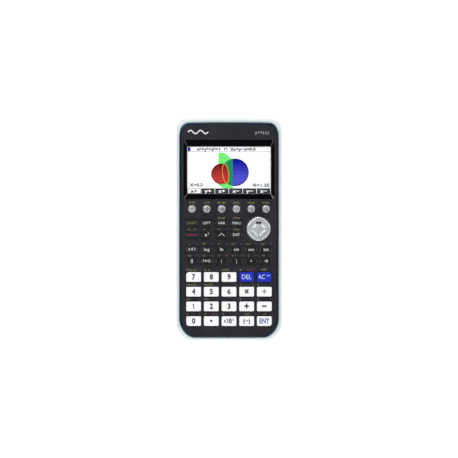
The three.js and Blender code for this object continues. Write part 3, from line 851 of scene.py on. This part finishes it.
def rear_cover():
    """Shell with a rounded back, the battery bay, and the screw, reset and socket holes."""
    rings = []
    for step in range(13):
        share = (step / 12) ** 1.4
        turn = 1 - math.sqrt(1 - (1 - share) ** 2)
        points = scaled(rear_outline, rear_rect, LOWER_ROUND[0] * turn)
        rings.append((points, back + LOWER_ROUND[1] * share))
    for step in range(11):
        share = math.sin(step / 10 * math.pi / 2)
        turn = 1 - math.sqrt(1 - share ** 2)
        points = between(rear_outline, face_outline, turn * 0.93)
        rings.append((points, parting - SHOULDER * (1 - share)))
    hollow = Surface()
    walls = rounded(bay.grown(BAY_WALL), 0.3)
    floor_ring, rim = hollow.stack([(face_at(WALL), floor_top), (face_at(WALL), parting + 1)])
    wall_low, wall_high = hollow.stack([(walls, cell_top), (walls, floor_top)])
    hollow.cap([floor_ring, wall_high], False)
    hollow.cap([wall_low], False)
    hollow.cap([rim], True)
    ledge = floor_top - 0.5
    cutters = [
        hollow,
        prism(rounded(bay, 0.4), back - 1, cell_top + 1),
        pocket(cover.grown(COVER_CLEARANCE), 2, ledge),
        pocket(tongue.grown(COVER_CLEARANCE), 0.5, ledge),
        pocket(notch, 1.5, back + NOTCH[2]),
        bore(*RESET, RESET_RADIUS, 24, floor_top + 1),
    ]
    for x, y in screw_places:
        cutters.append(bore(x, y, SCREW_HEAD[0], 32, screw_seat))
        cutters.append(prism(circle(x, y, SCREW_HOLE_RADIUS, 20), back - 1, SCREW_TIP + 1))
    socket = Rect(USB.left, USB.base, USB.right, USB.height).grown(SOCKET_GAP)
    for points in (rounded(socket, 1.4), circle(JACK_X, USB.z, JACK_RADIUS, 32)):
        cutter = prism(points, -REAR.top - 4, 10 - REAR.top)
        cutter.points = [(x, -z, y) for x, y, z in cutter.points]
        cutters.append(cutter)
    shell = carved(solid_stack(rings), cutters)
    piece("rear_shell", shell, ["shell_white"], CASE, ["rear_cover"])


def bosses():
    """Posts inside the rear cover that the screws run up into."""
    base = screw_seat + 0.2
    top = BOARD.base - 0.3
    hole = SCREW_HOLE_RADIUS
    profile = [(hole, base), (BOSS_RADIUS, base), (BOSS_RADIUS, top - 0.1), (BOSS_RADIUS - 0.1, top)]
    profile += [(hole, top), (hole, base)]
    for number, (x, y) in enumerate(screw_places, 1):
        post = turned(profile, 24, (x, y, 0))
        piece(f"screw_post_{number}", post, ["shell_white"], CASE)


def screws():
    """Screws whose heads sit in the back, with a crossed slot."""
    low = screw_seat - 0.75
    profile = [(0, low), (1.7, low), (2, low + 0.12), (2.05, low + 0.3), (2.05, screw_seat)]
    profile += [(0.9, screw_seat), (0.85, SCREW_TIP), (0, SCREW_TIP)]
    for number, (x, y) in enumerate(screw_places, 1):
        crosses = []
        for along, across in ((1.25, 0.3), (0.3, 1.25)):
            slot = Rect(x - along, y - across, x + along, y + across)
            crosses.append(prism(rounded(slot, 0.08, 2), low - 0.2, low + 0.5))
        screw = carved(turned(profile, 32, (x, y, 0)), crosses)
        piece(f"screw_{number}", screw, ["screw_steel"], CASE)


def feet():
    profile = [(0, 0), (2.9, 0), (3.3, 0.08), (3.48, 0.28), (3.5, back), (0, back)]
    for number, (x, y) in enumerate(mirrored(FOOT_INSET, (-1, 1)), 1):
        piece(f"foot_{number}", turned(profile, 40, (x, y, 0)), ["rubber_dark"], CASE)


rear_cover()
bosses()
screws()
feet()


# ---- battery compartment

def battery_cover():
    """Lid with a snap tongue and a row of grip ridges."""
    low, high = LID.base, LID.height

    def slab(rect, radius):
        return solid_stack([
            (rounded(rect.grown(-0.25), radius - 0.2), low),
            (rounded(rect.grown(-0.06), radius - 0.05), low + 0.08),
            (rounded(rect, radius), low + 0.25),
            (rounded(rect, radius), high - 0.1),
            (rounded(rect.grown(-0.1), radius - 0.08), high),
        ])

    surface = slab(cover, 2)
    surface.join(slab(tongue, 0.6))
    for ridge in range(6):
        y = cover.bottom + 2 + ridge * 1.5
        half = 9 - ridge * 0.9
        bar = Rect(-half, y - 0.35, half, y + 0.35)
        surface.join(solid_stack([
            (rounded(bar.grown(-0.2), 0.15, 3), low - 0.25),
            (rounded(bar.grown(-0.06), 0.29, 3), low - 0.19),
            (rounded(bar, 0.35, 3), low + 0.01),
        ]))
    piece("battery_lid", surface, ["shell_white"], "battery_cover", ["battery_cover"])


def cell(box):
    """A cell along Y, its nub at the top end: bare ends, gold above and black below."""
    half = (box.top - box.bottom) / 2
    radius = (box.right - box.left) / 2
    split = half * 0.42
    profile = [(0, -half), (radius - 1, -half), (radius - 0.5, 0.15 - half)]
    profile += [(radius - 0.3, 0.35 - half), (radius - 0.05, 0.55 - half), (radius, 0.8 - half)]
    profile += [(radius, split), (radius, half * 0.43), (radius, half - 1.5)]
    profile += [(radius - 0.15, half - 1.15), (radius - 0.5, half - 0.95), (2.3, half - 0.9)]
    profile += [(1.9, half - 0.7), (1.9, half - 0.15), (1.7, half), (0, half)]
    kinds = [2] * 2 + [1] * 4 + [0] * 4 + [2] * 5
    return turned(profile, 48, (box.x, box.y, box.z), "y", kinds)


def tube(path, radius):
    """Round wire along a path of points."""
    surface = Surface()
    rings = []
    sides = 8
    last = len(path) - 1
    for index, point in enumerate(path):
        ahead = Vector(path[min(index + 1, last)]) - Vector(path[max(index - 1, 0)])
        out = ahead.cross(Vector((0, 1, 0))).normalized()
        over = ahead.normalized().cross(out)
        rings.append(list(range(len(surface.points), len(surface.points) + sides)))
        for side in range(sides):
            turn = side * 2 * math.pi / sides
            spot = Vector(point) + (out * math.cos(turn) + over * math.sin(turn)) * radius
            surface.points.append(tuple(spot))
    for low, high in zip(rings, rings[1:]):
        surface.band(high, low)
    surface.points += [path[0], path[-1]]
    surface.fan(rings[0], len(surface.points) - 2)
    surface.fan(rings[-1], len(surface.points) - 1, False)
    return surface


def spring(box, end, inward):
    """Coil that narrows from an end wall of the bay towards its cell."""
    turns, steps = 4, 90
    wide, narrow, length = 3.2, 1.8, 1.7
    path = []
    for step in range(steps):
        share = step / steps
        reach = wide + (narrow - wide) * share
        x, z = spun(reach, 0, share * turns * 2 * math.pi, box.x, box.z)
        path.append((x, end + inward * (0.3 + length * share), z))
    return tube(path, 0.25)


def contact_plate(box, wall, inward):
    """Plate with a round boss on the wall that a cell's nub presses on."""
    plate = prism(rounded(Rect(box.x, box.z, box.x, box.z).grown(3.6, 3.8), 0.6), 0, 0.3)
    plate.join(turned([(2.4, 0.28), (1.9, 1.2), (1.2, 1.7), (0, 1.8)], 24, (box.x, box.z, 0)))
    plate.points = [
        (box.x - inward * (x - box.x), wall + inward * (0.05 + z), y) for x, y, z in plate.points
    ]
    return plate


def batteries():
    """Four cells, turned end for end in turn, with a spring and a plate at the ends of each."""
    for number, box in enumerate(CELLS, 1):
        made = cell(box)
        inward = -1 if number % 2 else 1
        spring_wall, plate_wall = (bay.top, bay.bottom) if number % 2 else (bay.bottom, bay.top)
        if number % 2:
            made.points = [(2 * box.x - x, 2 * box.y - y, z) for x, y, z in made.points]
        piece(f"cell_{number}", made, ["cell_gold", "cell_black", "tinned_steel"], CASE,
              [f"battery_{number}"])
        piece(f"contact_spring_{number}", spring(box, spring_wall, inward), ["tinned_steel"], CASE)
        piece(f"contact_plate_{number}", contact_plate(box, plate_wall, -inward), ["tinned_steel"],
              CASE)


battery_cover()
batteries()


# ---- sockets and inner parts

def jack():
    """Round data socket behind its hole in the end wall."""
    end = REAR.top - 0.6
    outside, inside = JACK_RADIUS - 0.05, 1.3
    depth = 9 - end
    profile = [(inside, -end), (outside - 0.1, -end), (outside, 0.1 - end), (outside, depth)]
    profile += [(0, depth), (0, depth - 1), (inside, depth - 1), (inside, -end)]
    barrel = turned(profile, 32, (JACK_X, 0, USB.z), "y")
    barrel.points = [(x, -y, z) for x, y, z in barrel.points]
    barrel.faces = [tuple(reversed(face)) for face in barrel.faces]
    piece("data_socket", barrel, ["pivot_black"], CASE)


jack()


def paint(node, material):
    """Gives a CAD node that stays in view its finish."""
    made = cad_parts[node]
    made.data.materials.clear()
    made.data.materials.append(bpy.data.materials[material])


paint("key_mat", "rubber_grey")
paint("circuit_board", "board_green")
paint("cursor_pad_pivot", "pivot_black")
paint("usb_socket", "tinned_steel")


# ---- keys

EDGE_STEPS = 6
CAP_WALL = 1


def cap_surface(outline_at, low, top, edge, dish):
    """Hollow key cap with a flange, a rounded upper edge and a shallow dish.
    edge is (inset, drop) of the rounding, dish is (width of its slope, depth)."""
    shelf = low + KEY_FLANGE_THICKNESS
    rings = [(outline_at(CAP_WALL), low + 1.5), (outline_at(CAP_WALL), low), (outline_at(-0.02), low)]
    rings += [(outline_at(-0.02), shelf), (outline_at(0), shelf + 0.1)]
    for inward, drop in quarter_round(EDGE_STEPS):
        rings.append((outline_at(edge[0] * inward), top - edge[1] * drop))
    steps = 5
    for step in range(1, steps + 1):
        share = step / steps
        drop = dish[1] * (0.5 - 0.5 * math.cos(share * math.pi))
        rings.append((outline_at(edge[0] + 0.1 + dish[0] * share), top - drop))
    return solid_stack(rings)


def add_glint(surface, sides):
    """Gives the straight left and right edges of a cap the third material, a paler, glossy black that is
    a painted highlight.
    """
    corner = sides // 4
    for index in range(4 * sides, (4 + EDGE_STEPS) * sides):
        if index % sides in (corner - 1, 3 * corner - 1):
            surface.kinds[index] = 2


def add_flange(surface, rect, low):
    """Bars at the two sides of a key that hold it under the face."""
    for side in (rect.left, rect.right):
        outward = math.copysign(1, side - rect.x)
        left, right = sorted((side + outward * KEY_FLANGE, side - outward * 0.2))
        bar = rounded(Rect(left, rect.bottom + 0.05, right, rect.top - 0.05), 0.3, 3)
        surface.join(prism(bar, low, low + KEY_FLANGE_THICKNESS - 0.02))


def symbol(text, height, width, weight):
    """Lettering, or one of the marks that are drawn rather than lettered."""
    half = width / 2
    if text == "^":
        return ribbon([(-half, -height / 2), (0, height / 2), (half, -height / 2)], 0.5)
    if text == "comma":
        return ribbon([(half, height / 2), (-half, -height / 2)], 0.6)
    if text == "dot":
        return region(circle(0, 0, half, 24))
    if text == "1":
        return ribbon([(-width, height * 0.26), (0, height / 2 - 0.15), (0, -height / 2)], 0.75)
    if text == "fraction":
        side = height * 0.17
        square = ribbon([(-side, -side), (side, -side), (side, side), (-side, side)], 0.3, True)
        bar = ribbon([(-half, 0), (half, 0)], 0.3)
        return joined((square, 0, height / 2 - side), (square, 0, side - height / 2), (bar, 0, 0))
    if text == "÷":
        bar = ribbon([(-half, 0), (half, 0)], 0.75)
        dot = region(circle(0, 0, 0.6, 20))
        return joined((bar, 0, 0), (dot, 0, height * 0.36), (dot, 0, -height * 0.36))
    if text == "x^2":
        return joined(
            (lettering("x", height, width * 0.6, weight), -width * 0.16, 0),
            (lettering("2", height * 0.55, width * 0.26, weight), width * 0.36, height * 0.34),
        )
    if text == "×10^x":
        return joined(
            (lettering("×", height * 0.75, width * 0.2, weight), -width * 0.4, -height * 0.1),
            (symbol("1", height, width * 0.1, weight), -width * 0.12, 0),
            (lettering("0", height, width * 0.3, weight), width * 0.13, 0),
            (lettering("x", height * 0.6, width * 0.18, weight), width * 0.41, height * 0.36),
        )
    return lettering(text, height, width, weight)


AC_SHIFT = 2.4


def rectangular_keys(keys, look_of, edge, dish, weight, legend):
    """Makes a block of keys; look_of gives a key's slot and the materials of its cap and glint."""
    for name, (text, height, width, *_) in keys.items():
        box = Box(f"key_{name}")
        rect = key_rect(name)
        slot, plastic, *glint = look_of(name)
        surface = cap_surface(lambda by: key_outline(name, by), box.base, box.height, edge, dish)
        if glint:
            add_glint(surface, len(key_outline(name, 0)))
        add_flange(surface, rect, box.base)
        label = Sheet()
        weight_here = WORD_WEIGHT.get(name, weight)
        flat = box.height - dish[1] + INK
        aside = AC_SHIFT if name == "all_clear" else 0
        label.lay(symbol(text, height, width, weight_here), flat, 1, rect.x - aside, rect.y + 0.2)
        if aside:
            label.lay(lettering("ON", 1.6, 3.2, weight_here), flat, 1, rect.right - 2.6, rect.y + 1.1)
        surface.join(label, 1)
        materials = [plastic, KEY_INK.get(name, legend), *glint]
        piece(f"cap_{name}", surface, materials, f"key_{name}", [f"key_{name}"])


def number_look(name):
    return ("blue_keys", "key_blue") if name in ("delete", "all_clear") else ("white_keys", "key_white")


rectangular_keys(BLACK_KEYS, lambda name: ("black_keys", "key_black", "key_glint"), (0.6, 0.45),
                 (0.4, 0.12), 0, "legend_white")
rectangular_keys(NUMBER_KEYS, number_look, (0.75, 0.65), (0.8, 0.14), DIGIT_WEIGHT, "legend_dark")


FUNCTION_DOME = 0.6
FUNCTION_TAPER = 0.25
FUNCTION_EDGE = (0.5, 0.35)         # across, down


def function_keys():
    """Round domed keys, numbered towards the lower right."""
    across, down = FUNCTION_EDGE
    steps = 8
    for number in range(1, 7):
        box, radius = function_key(number)
        x, y, low, top = box.x, box.y, box.base, box.height
        inside = radius - 1.3
        rim = radius + KEY_FLANGE
        shelf = low + KEY_FLANGE_THICKNESS
        dome_base = top - FUNCTION_DOME
        neck = radius - FUNCTION_TAPER
        flat = neck - across
        profile = [(0, low + 1.5), (inside, low + 1.5), (inside, low), (rim, low), (rim, shelf)]
        profile.append((radius, shelf))
        for inward, drop in quarter_round(steps)[:-1]:
            profile.append((neck - across * inward, dome_base - down * drop))
        for step in range(steps):
            share = 1 - step / steps
            profile.append((flat * share, top - FUNCTION_DOME * share ** 2))
        surface = turned([*profile, (0, top)], 48, (x, y, 0))
        label = Sheet()
        label.lay(lettering("F", 2.2, 1.2), 0, 1, x - 1.3, y + 0.3)
        label.lay(symbol(str(number), 3.2, 0.8 if number == 1 else 2.1, 0.03), 0, 1, x + 0.8, y - 0.5)
        curved = []
        for px, py, pz in label.points:
            share = math.hypot(px - x, py - y) / flat
            curved.append((px, py, top - FUNCTION_DOME * share ** 2 + INK))
        surface.add(curved, label.faces, 1)
        piece(f"cap_f{number}", surface, ["key_silver", "legend_dark"], f"key_f{number}",
              [f"key_f{number}"])


function_keys()


# ---- cursor pad

# Rounded diamonds on the pad, as shares of its radius at their tips and their flats.
PAD_EDGE = (0.985, 0.9)
PAD_INNER = (0.56, 0.42)
PAD_CORE = (0.44, 0.3)
# Heights below the pad's highest ring.
PAD_EASE = 0.42
PAD_SLOPE = 0.1
PAD_SUNK = 0.6
PAD_FACET = 0.3


def diamond(angle, shares):
    """Distance to the edge of a disc that is cut flat at its four diagonals."""
    tip, flat = (pad_radius * share for share in shares)
    off = (angle % (math.pi / 2)) - math.pi / 4
    return (tip ** -20 + (flat / math.cos(off)) ** -20) ** (-1 / 20)


def pad_height(reach, angle):
    """Height against the pad's highest ring, at a distance and direction from its middle."""
    share = reach / diamond(angle, PAD_EDGE)
    if share >= 1:
        return -PAD_EASE - 0.25 * min(1, (share - 1) * 5)
    if share > 0.93:
        return -PAD_EASE * ((share - 0.93) / 0.07) ** 2
    inner = diamond(angle, PAD_INNER)
    if reach > inner * 1.16:
        return -PAD_SLOPE * ((0.93 - share) / 0.5) ** 2
    if reach > inner:
        return -PAD_SLOPE - 0.5 * (1.16 - reach / inner) / 0.16
    core = diamond(angle, PAD_CORE)
    if reach > core:
        return -PAD_SUNK + 0.3 * (inner - reach) / (inner - core)
    return -PAD_FACET - 0.28 * (1 - reach / core)


def cursor_pad():
    """Pad with a raised rounded diamond, a sunk ring and a faceted middle."""
    surface = Surface()
    sides, circles = 128, 56
    flange_top = PAD.base + 0.5
    flange_ring = circle(PAD.x, PAD.y, pad_radius + PAD_FLANGE, sides)
    rim = circle(PAD.x, PAD.y, pad_radius, sides)
    first, outer = surface.stack([
        (flange_ring, PAD.base),
        (flange_ring, flange_top),
        (rim, flange_top + 0.05),
        (rim, PAD.height - 0.95),
    ])
    surface.cap([first], False)
    for step in range(circles):
        reach = (pad_radius - 0.06) * (1 - step / circles)
        ring = list(range(len(surface.points), len(surface.points) + sides))
        for side, (x, y) in enumerate(circle(PAD.x, PAD.y, reach, sides)):
            height = pad_height(reach, side * 2 * math.pi / sides)
            surface.points.append((x, y, PAD.height + height))
        surface.band(outer, ring)
        # Faces past the diamond's edge take the darker rim metal, painted shade on the lowered corners.
        for side in range(sides):
            middle = (side + 0.5) * 2 * math.pi / sides
            if reach > diamond(middle, PAD_EDGE):
                surface.kinds[side - sides] = 2
        outer = ring
    surface.points.append((PAD.x, PAD.y, PAD.height + pad_height(0, 0)))
    surface.fan(outer, len(surface.points) - 1)
    marks = [circle(PAD.x + shift, PAD.y + 5.2, 1.2, 32) for shift in (-1.3, 1.3)]
    for quarter in range(4):
        start, end = (6.9, 8.1) if quarter == 1 else (5.2, 7.4)
        line = [spun(reach, 0, quarter * math.pi / 2, PAD.x, PAD.y) for reach in (start, end)]
        first_low, first_high, last_low, last_high = ribbon(line, 0.5)[0]
        marks.append([first_low, last_low, last_high, first_high])
    for points in marks:
        surface.join(prism(points, PAD.height - 0.8, PAD.height - 0.03), 1)
    materials = ["pad_silver", "pad_mark", "pad_rim_painted_shade"]
    piece("pad_cap", surface, materials, "cursor_pad", ["cursor_pad"])


cursor_pad()


# ---- printing on the face

functions_y = Box("key_f1").y
columns = [Box(f"key_f{number}").x for number in range(1, 7)]
printed = {"gold": Sheet(), "red": Sheet(), "white": Sheet(), "grey": Sheet()}


def label(ink_name, text, x, y, height, width, weight=0.008):
    printed[ink_name].lay(lettering(text, height, width, weight), FACE.height + INK, 0, x, y)


def above(key):
    """Height of the line of small print over a key."""
    return Box(f"key_{key}").top + 1.75


# Small print over the round keys, with its width.
OVER_FUNCTIONS = {"y=0": 5, "x=0": 5, "dy/dx": 7.6, "∫dx": 6, "min": 5.6, "max": 6}
for column, (text, width) in zip(columns, OVER_FUNCTIONS.items()):
    label("gold", text, column, functions_y + 5.4, 1.7, width)
label("gold", "(x,y)", columns[2], above("variables"), 1.8, 6.4)
label("gold", "y=mx", columns[3], above("menu"), 1.8, 6.6)
label("gold", "A…Z", columns[0], above("alpha"), 1.7, 6.8)
for keys, raised, height, letter_shift, letter_width in (
    (BLACK_KEYS, 0, 1.6, 4.2, 1.2),
    (NUMBER_KEYS, 0.3, 1.7, 5.1, 1.1),
):
    for key, row in keys.items():
        second, second_width, shift, letter = row[3:] or ("", 0, 0, "")
        middle = Box(f"key_{key}").x
        line = above(key) + raised
        if second:
            label("gold", second, middle + shift, line, height, second_width)
        if len(letter) == 1:
            label("red", letter, middle + letter_shift, line, 1.5, letter_width)
        elif letter:
            label("red", letter, middle + 3, line, 1.6, 5.4)
label("grey", "y = f ( x )", FACE.right - 14.2, FACE.top - 8.8, 2.3, 11.2, 0.012)

wave = [(step * 17 / 48, 1.35 * math.sin(step / 48 * 4 * math.pi)) for step in range(49)]
printed["white"].lay(ribbon(wave, 1.05), FACE.height + INK, 0, FACE.left + 7.4, FACE.top - 8.4)

for name, material, slot in (
    ("gold", "legend_gold", "legend_gold"),
    ("red", "letter_rose", "legend_red"),
    ("white", "legend_white", "legend_white"),
    ("grey", "legend_grey", "legend_white"),
):
    piece(f"face_print_{name}", printed[name], [material], CASE)


# ---- display

# Screen ink: colour, and on the globes (start, end, colour at the end) along the case.
SCREEN_INKS = {
    "white": [(250, 251, 252)],
    "grey": [(120, 122, 126)],
    "black": [(12, 12, 14)],
    "violet": [(62, 54, 176)],
    "green": [(118, 240, 120)],
    "teal": [(22, 142, 88)],
    "maroon": [(96, 10, 20)],
    "navy": [(12, 16, 92)],
    "amber": [(240, 172, 48)],
    "tab": [(58, 60, 64)],
    "red": [(236, 72, 66), (38, 56, (112, 2, 4))],
    "blue": [(100, 100, 236), (37, 57, (4, 2, 176))],
}
KIND = {name: index for index, name in enumerate(SCREEN_INKS)}
for name, (colour, *fade) in SCREEN_INKS.items():
    ink(f"screen_{name}", colour, 0.35, 0.25 if name == "white" else 0.12, *fade)

screen = Rect(opening.left + 0.3, opening.bottom + 0.5, opening.right - 0.3, opening.top - 0.8)
LAYER = 0.034


class Screen(Sheet):
    """The picture on the display, built up in thin layers from its background."""

    def draw(self, layer, shape, kind, x=0, y=0):
        self.lay(shape, PANEL.height + LAYER * layer, KIND[kind], x, y)

    def block(self, layer, left, bottom, right, top, kind):
        self.draw(layer, region([(left, bottom), (right, bottom), (right, top), (left, top)]), kind)

    def words(self, layer, text, x, y, height, width, kind, weight=0.03):
        self.draw(layer, lettering(text, height, width, weight), kind, x, y)

    def globe_lines(self, layer, x, y, radius, kind, lean, inside):
        """Meridians and parallels of a globe, kept where inside(x, y) holds."""
        lines = []
        parts = 24
        for step in range(-6, 7):
            height = radius * math.sin(step / 7 * math.pi / 2)
            reach = math.sqrt(radius ** 2 - height ** 2)
            meridian = []
            parallel = []
            for part in range(parts + 1):
                turn = part / parts * math.pi
                meridian.append((height * math.sin(turn), -radius * math.cos(turn)))
                parallel.append((-reach * math.cos(turn), height - 0.3 * reach * math.sin(turn)))
            lines += [meridian, parallel]
        for line in lines:
            run = []
            for point in [*(spun(u, v, lean, x, y) for u, v in line), None]:
                if point and inside(*point):
                    run.append(point)
                    continue
                if len(run) > 1:
                    self.draw(layer, ribbon(run, 0.2), kind)
                run = []


def arc(x, y, radius, start, end, steps):
    turns = [start + (end - start) * step / steps for step in range(steps + 1)]
    return [(x + radius * math.cos(turn), y + radius * math.sin(turn)) for turn in turns]


def tabs(made):
    """Row of six tabs along the foot of the screen, the first one picked."""
    pitch, height = 11.75, 4.4
    base = screen.bottom + 0.1
    for index, text in enumerate(["x+", "y+", "z+", "x−", "y−", "z−"]):
        left = screen.left + 0.1 + index * pitch
        right = left + pitch - 0.5
        made.block(2, left, base, right, base + height, "tab")
        if index == 0:
            made.block(3, left + 0.3, base + 0.3, right - 0.3, base + height - 0.3, "white")
        colour = "black" if index == 0 else "white"
        made.words(4, text, (left + right) / 2, base + height / 2, 2.6, 6, colour)


def screen_picture():
    """A plane through two globes, with a title line above and a row of tabs below."""
    made = Screen()
    top = screen.top
    made.block(0.5, screen.left, screen.bottom, screen.right, top, "white")
    made.block(1, screen.left, top - 4.4, screen.right, top - 4.1, "grey")
    made.block(1, screen.left + 0.5, top - 3.8, screen.left + 2.9, top - 0.4, "violet")
    made.words(1, "x²+y²+z²=1  ∩  2x+y−z=0.5", -2.5, top - 2.1, 2.2, 50, "black", 0.04)
    near, far = 3.25, -8.8
    low, high = 34.4, top - 5.1
    plane = [(far, high), (far, low + 2.6), (far + 4.4, low), (near, low), (near, high - 6), (-4.1, high)]
    made.draw(1, region(plane), "green")

    # The further globe, with the part of it behind the plane.
    x, y, radius = 5.1, 47.85, 11.6
    made.draw(2, region(ellipse(x, y, radius, radius, 0, 64)), "blue")
    made.draw(3, ribbon(ellipse(x, y, radius - 0.15, radius - 0.15, 0, 64), 0.3, True), "navy")
    made.globe_lines(3, x, y, radius - 0.2, "navy", -0.2,
                     lambda px, py: math.hypot(px - x, py - y) < radius - 0.2)
    half = math.acos((near - x) / radius)
    made.draw(4, region(arc(x, y, radius, half, 2 * math.pi - half, 40)), "teal")

    # The nearer globe is cut off where it meets the plane, along a leaning ellipse.
    ball_x, ball_y, ball_radius = -6.2, 46.5, 8.6
    cut_x, cut_y, cut_across, cut_along, lean = -2.9, 46.8, 2.5, 8.1, 0.12
    shell = arc(ball_x, ball_y, ball_radius, math.radians(74), math.radians(299), 48)
    cut = ellipse(cut_x, cut_y, cut_across, cut_along, lean, 48)
    made.draw(5, region(shell + cut[36:] + cut[:13]), "red")
    made.draw(6, ribbon(shell, 0.3), "maroon")

    def on_ball(px, py):
        u, v = spun(px - cut_x, py - cut_y, -lean)
        if abs(v) >= cut_along or math.hypot(px - ball_x, py - ball_y) > ball_radius - 0.2:
            return False
        return u < cut_across * math.sqrt(1 - (v / cut_along) ** 2) - 0.2

    made.globe_lines(6, ball_x, ball_y, ball_radius, "maroon", lean, on_ball)
    made.draw(7, ribbon(cut, 0.5, True), "amber")
    made.words(1, "X=0.5", screen.left + 7.6, 37.3, 2.6, 11, "black")
    made.words(1, "R=1.25", screen.right - 8.1, 37.0, 2.6, 13.4, "black")
    tabs(made)
    return made


def display():
    pane = eased_plate(WINDOW, 0.5, WINDOW.base, WINDOW.height)
    piece("window_pane", pane, ["clear_pane"], CASE, ["display_window"])
    plate = eased_plate(PANEL, 0.6, PANEL.base, PANEL.height)
    piece("display_plate", plate, ["panel_grey"], CASE, ["display_panel"])
    inks = [f"screen_{name}" for name in SCREEN_INKS]
    piece("display_picture", screen_picture(), inks, CASE)


display()


# ---- floor, lights and camera

def floor():
    """Wide pale floor that glows a little, so that it stays white under the soft lights."""
    surface = Surface()
    ring = surface.ring(rounded(Rect(-1500, -1500, 1500, 1500), 20), 0)
    surface.cap([ring], True)
    made = Finish("floor_white")
    slow = made.noise(0.004)
    made.give(made.shader, {
        "Base Color": made.mix(made.remap(slow, 0, 1), (0.16, 0.16, 0.16, 1), (0.19, 0.19, 0.19, 1)),
        "Roughness": made.remap(slow, 0.75, 0.85),
        "Emission Color": (1, 1, 1, 1),
        "Emission Strength": 0.92,
        "Specular IOR Level": 0.1,
    })
    linked("floor", surface.mesh("floor", ["floor_white"]))


floor()


def lamp(name, place, size, power):
    """Square soft light that faces the middle of the calculator; place and size in metres."""
    light = bpy.data.lights.new(name, "AREA")
    light.shape = "SQUARE"
    light.size = size
    light.energy = power
    made = linked(name, light)
    made.location = place
    made.rotation_euler = (-Vector(place)).to_track_quat("-Z", "Y").to_euler()


lamp("key_light", (-1.0, 1.2, 1.5), 0.8, 21)
lamp("side_light", (1.2, 1.1, 1.3), 0.9, 9)
lamp("front_light", (1.1, -1.2, 1.3), 0.9, 11)
lamp("fill_light", (-1.2, -1.1, 1.2), 0.9, 12)
lamp("right_edge_light", (1.6, 0.6, 0.6), 0.6, 5)
lamp("top_edge_light", (0, 1.7, 0.5), 0.6, 10)
lamp("bottom_edge_light", (0, -1.7, 0.3), 0.6, 12)

world = bpy.data.worlds.new("studio")
SCENE.world = world
world.use_nodes = True
background = world.node_tree.nodes["Background"]
background.inputs["Color"].default_value = (0.9, 0.94, 1, 1)
background.inputs["Strength"].default_value = 0.32
SCENE.view_settings.view_transform = "Standard"

camera = bpy.data.cameras.new("overhead")
camera.sensor_width = 36
camera.lens = 200
overhead = linked("overhead", camera)
overhead.location = (0, 0, 2.163)
SCENE.camera = overhead
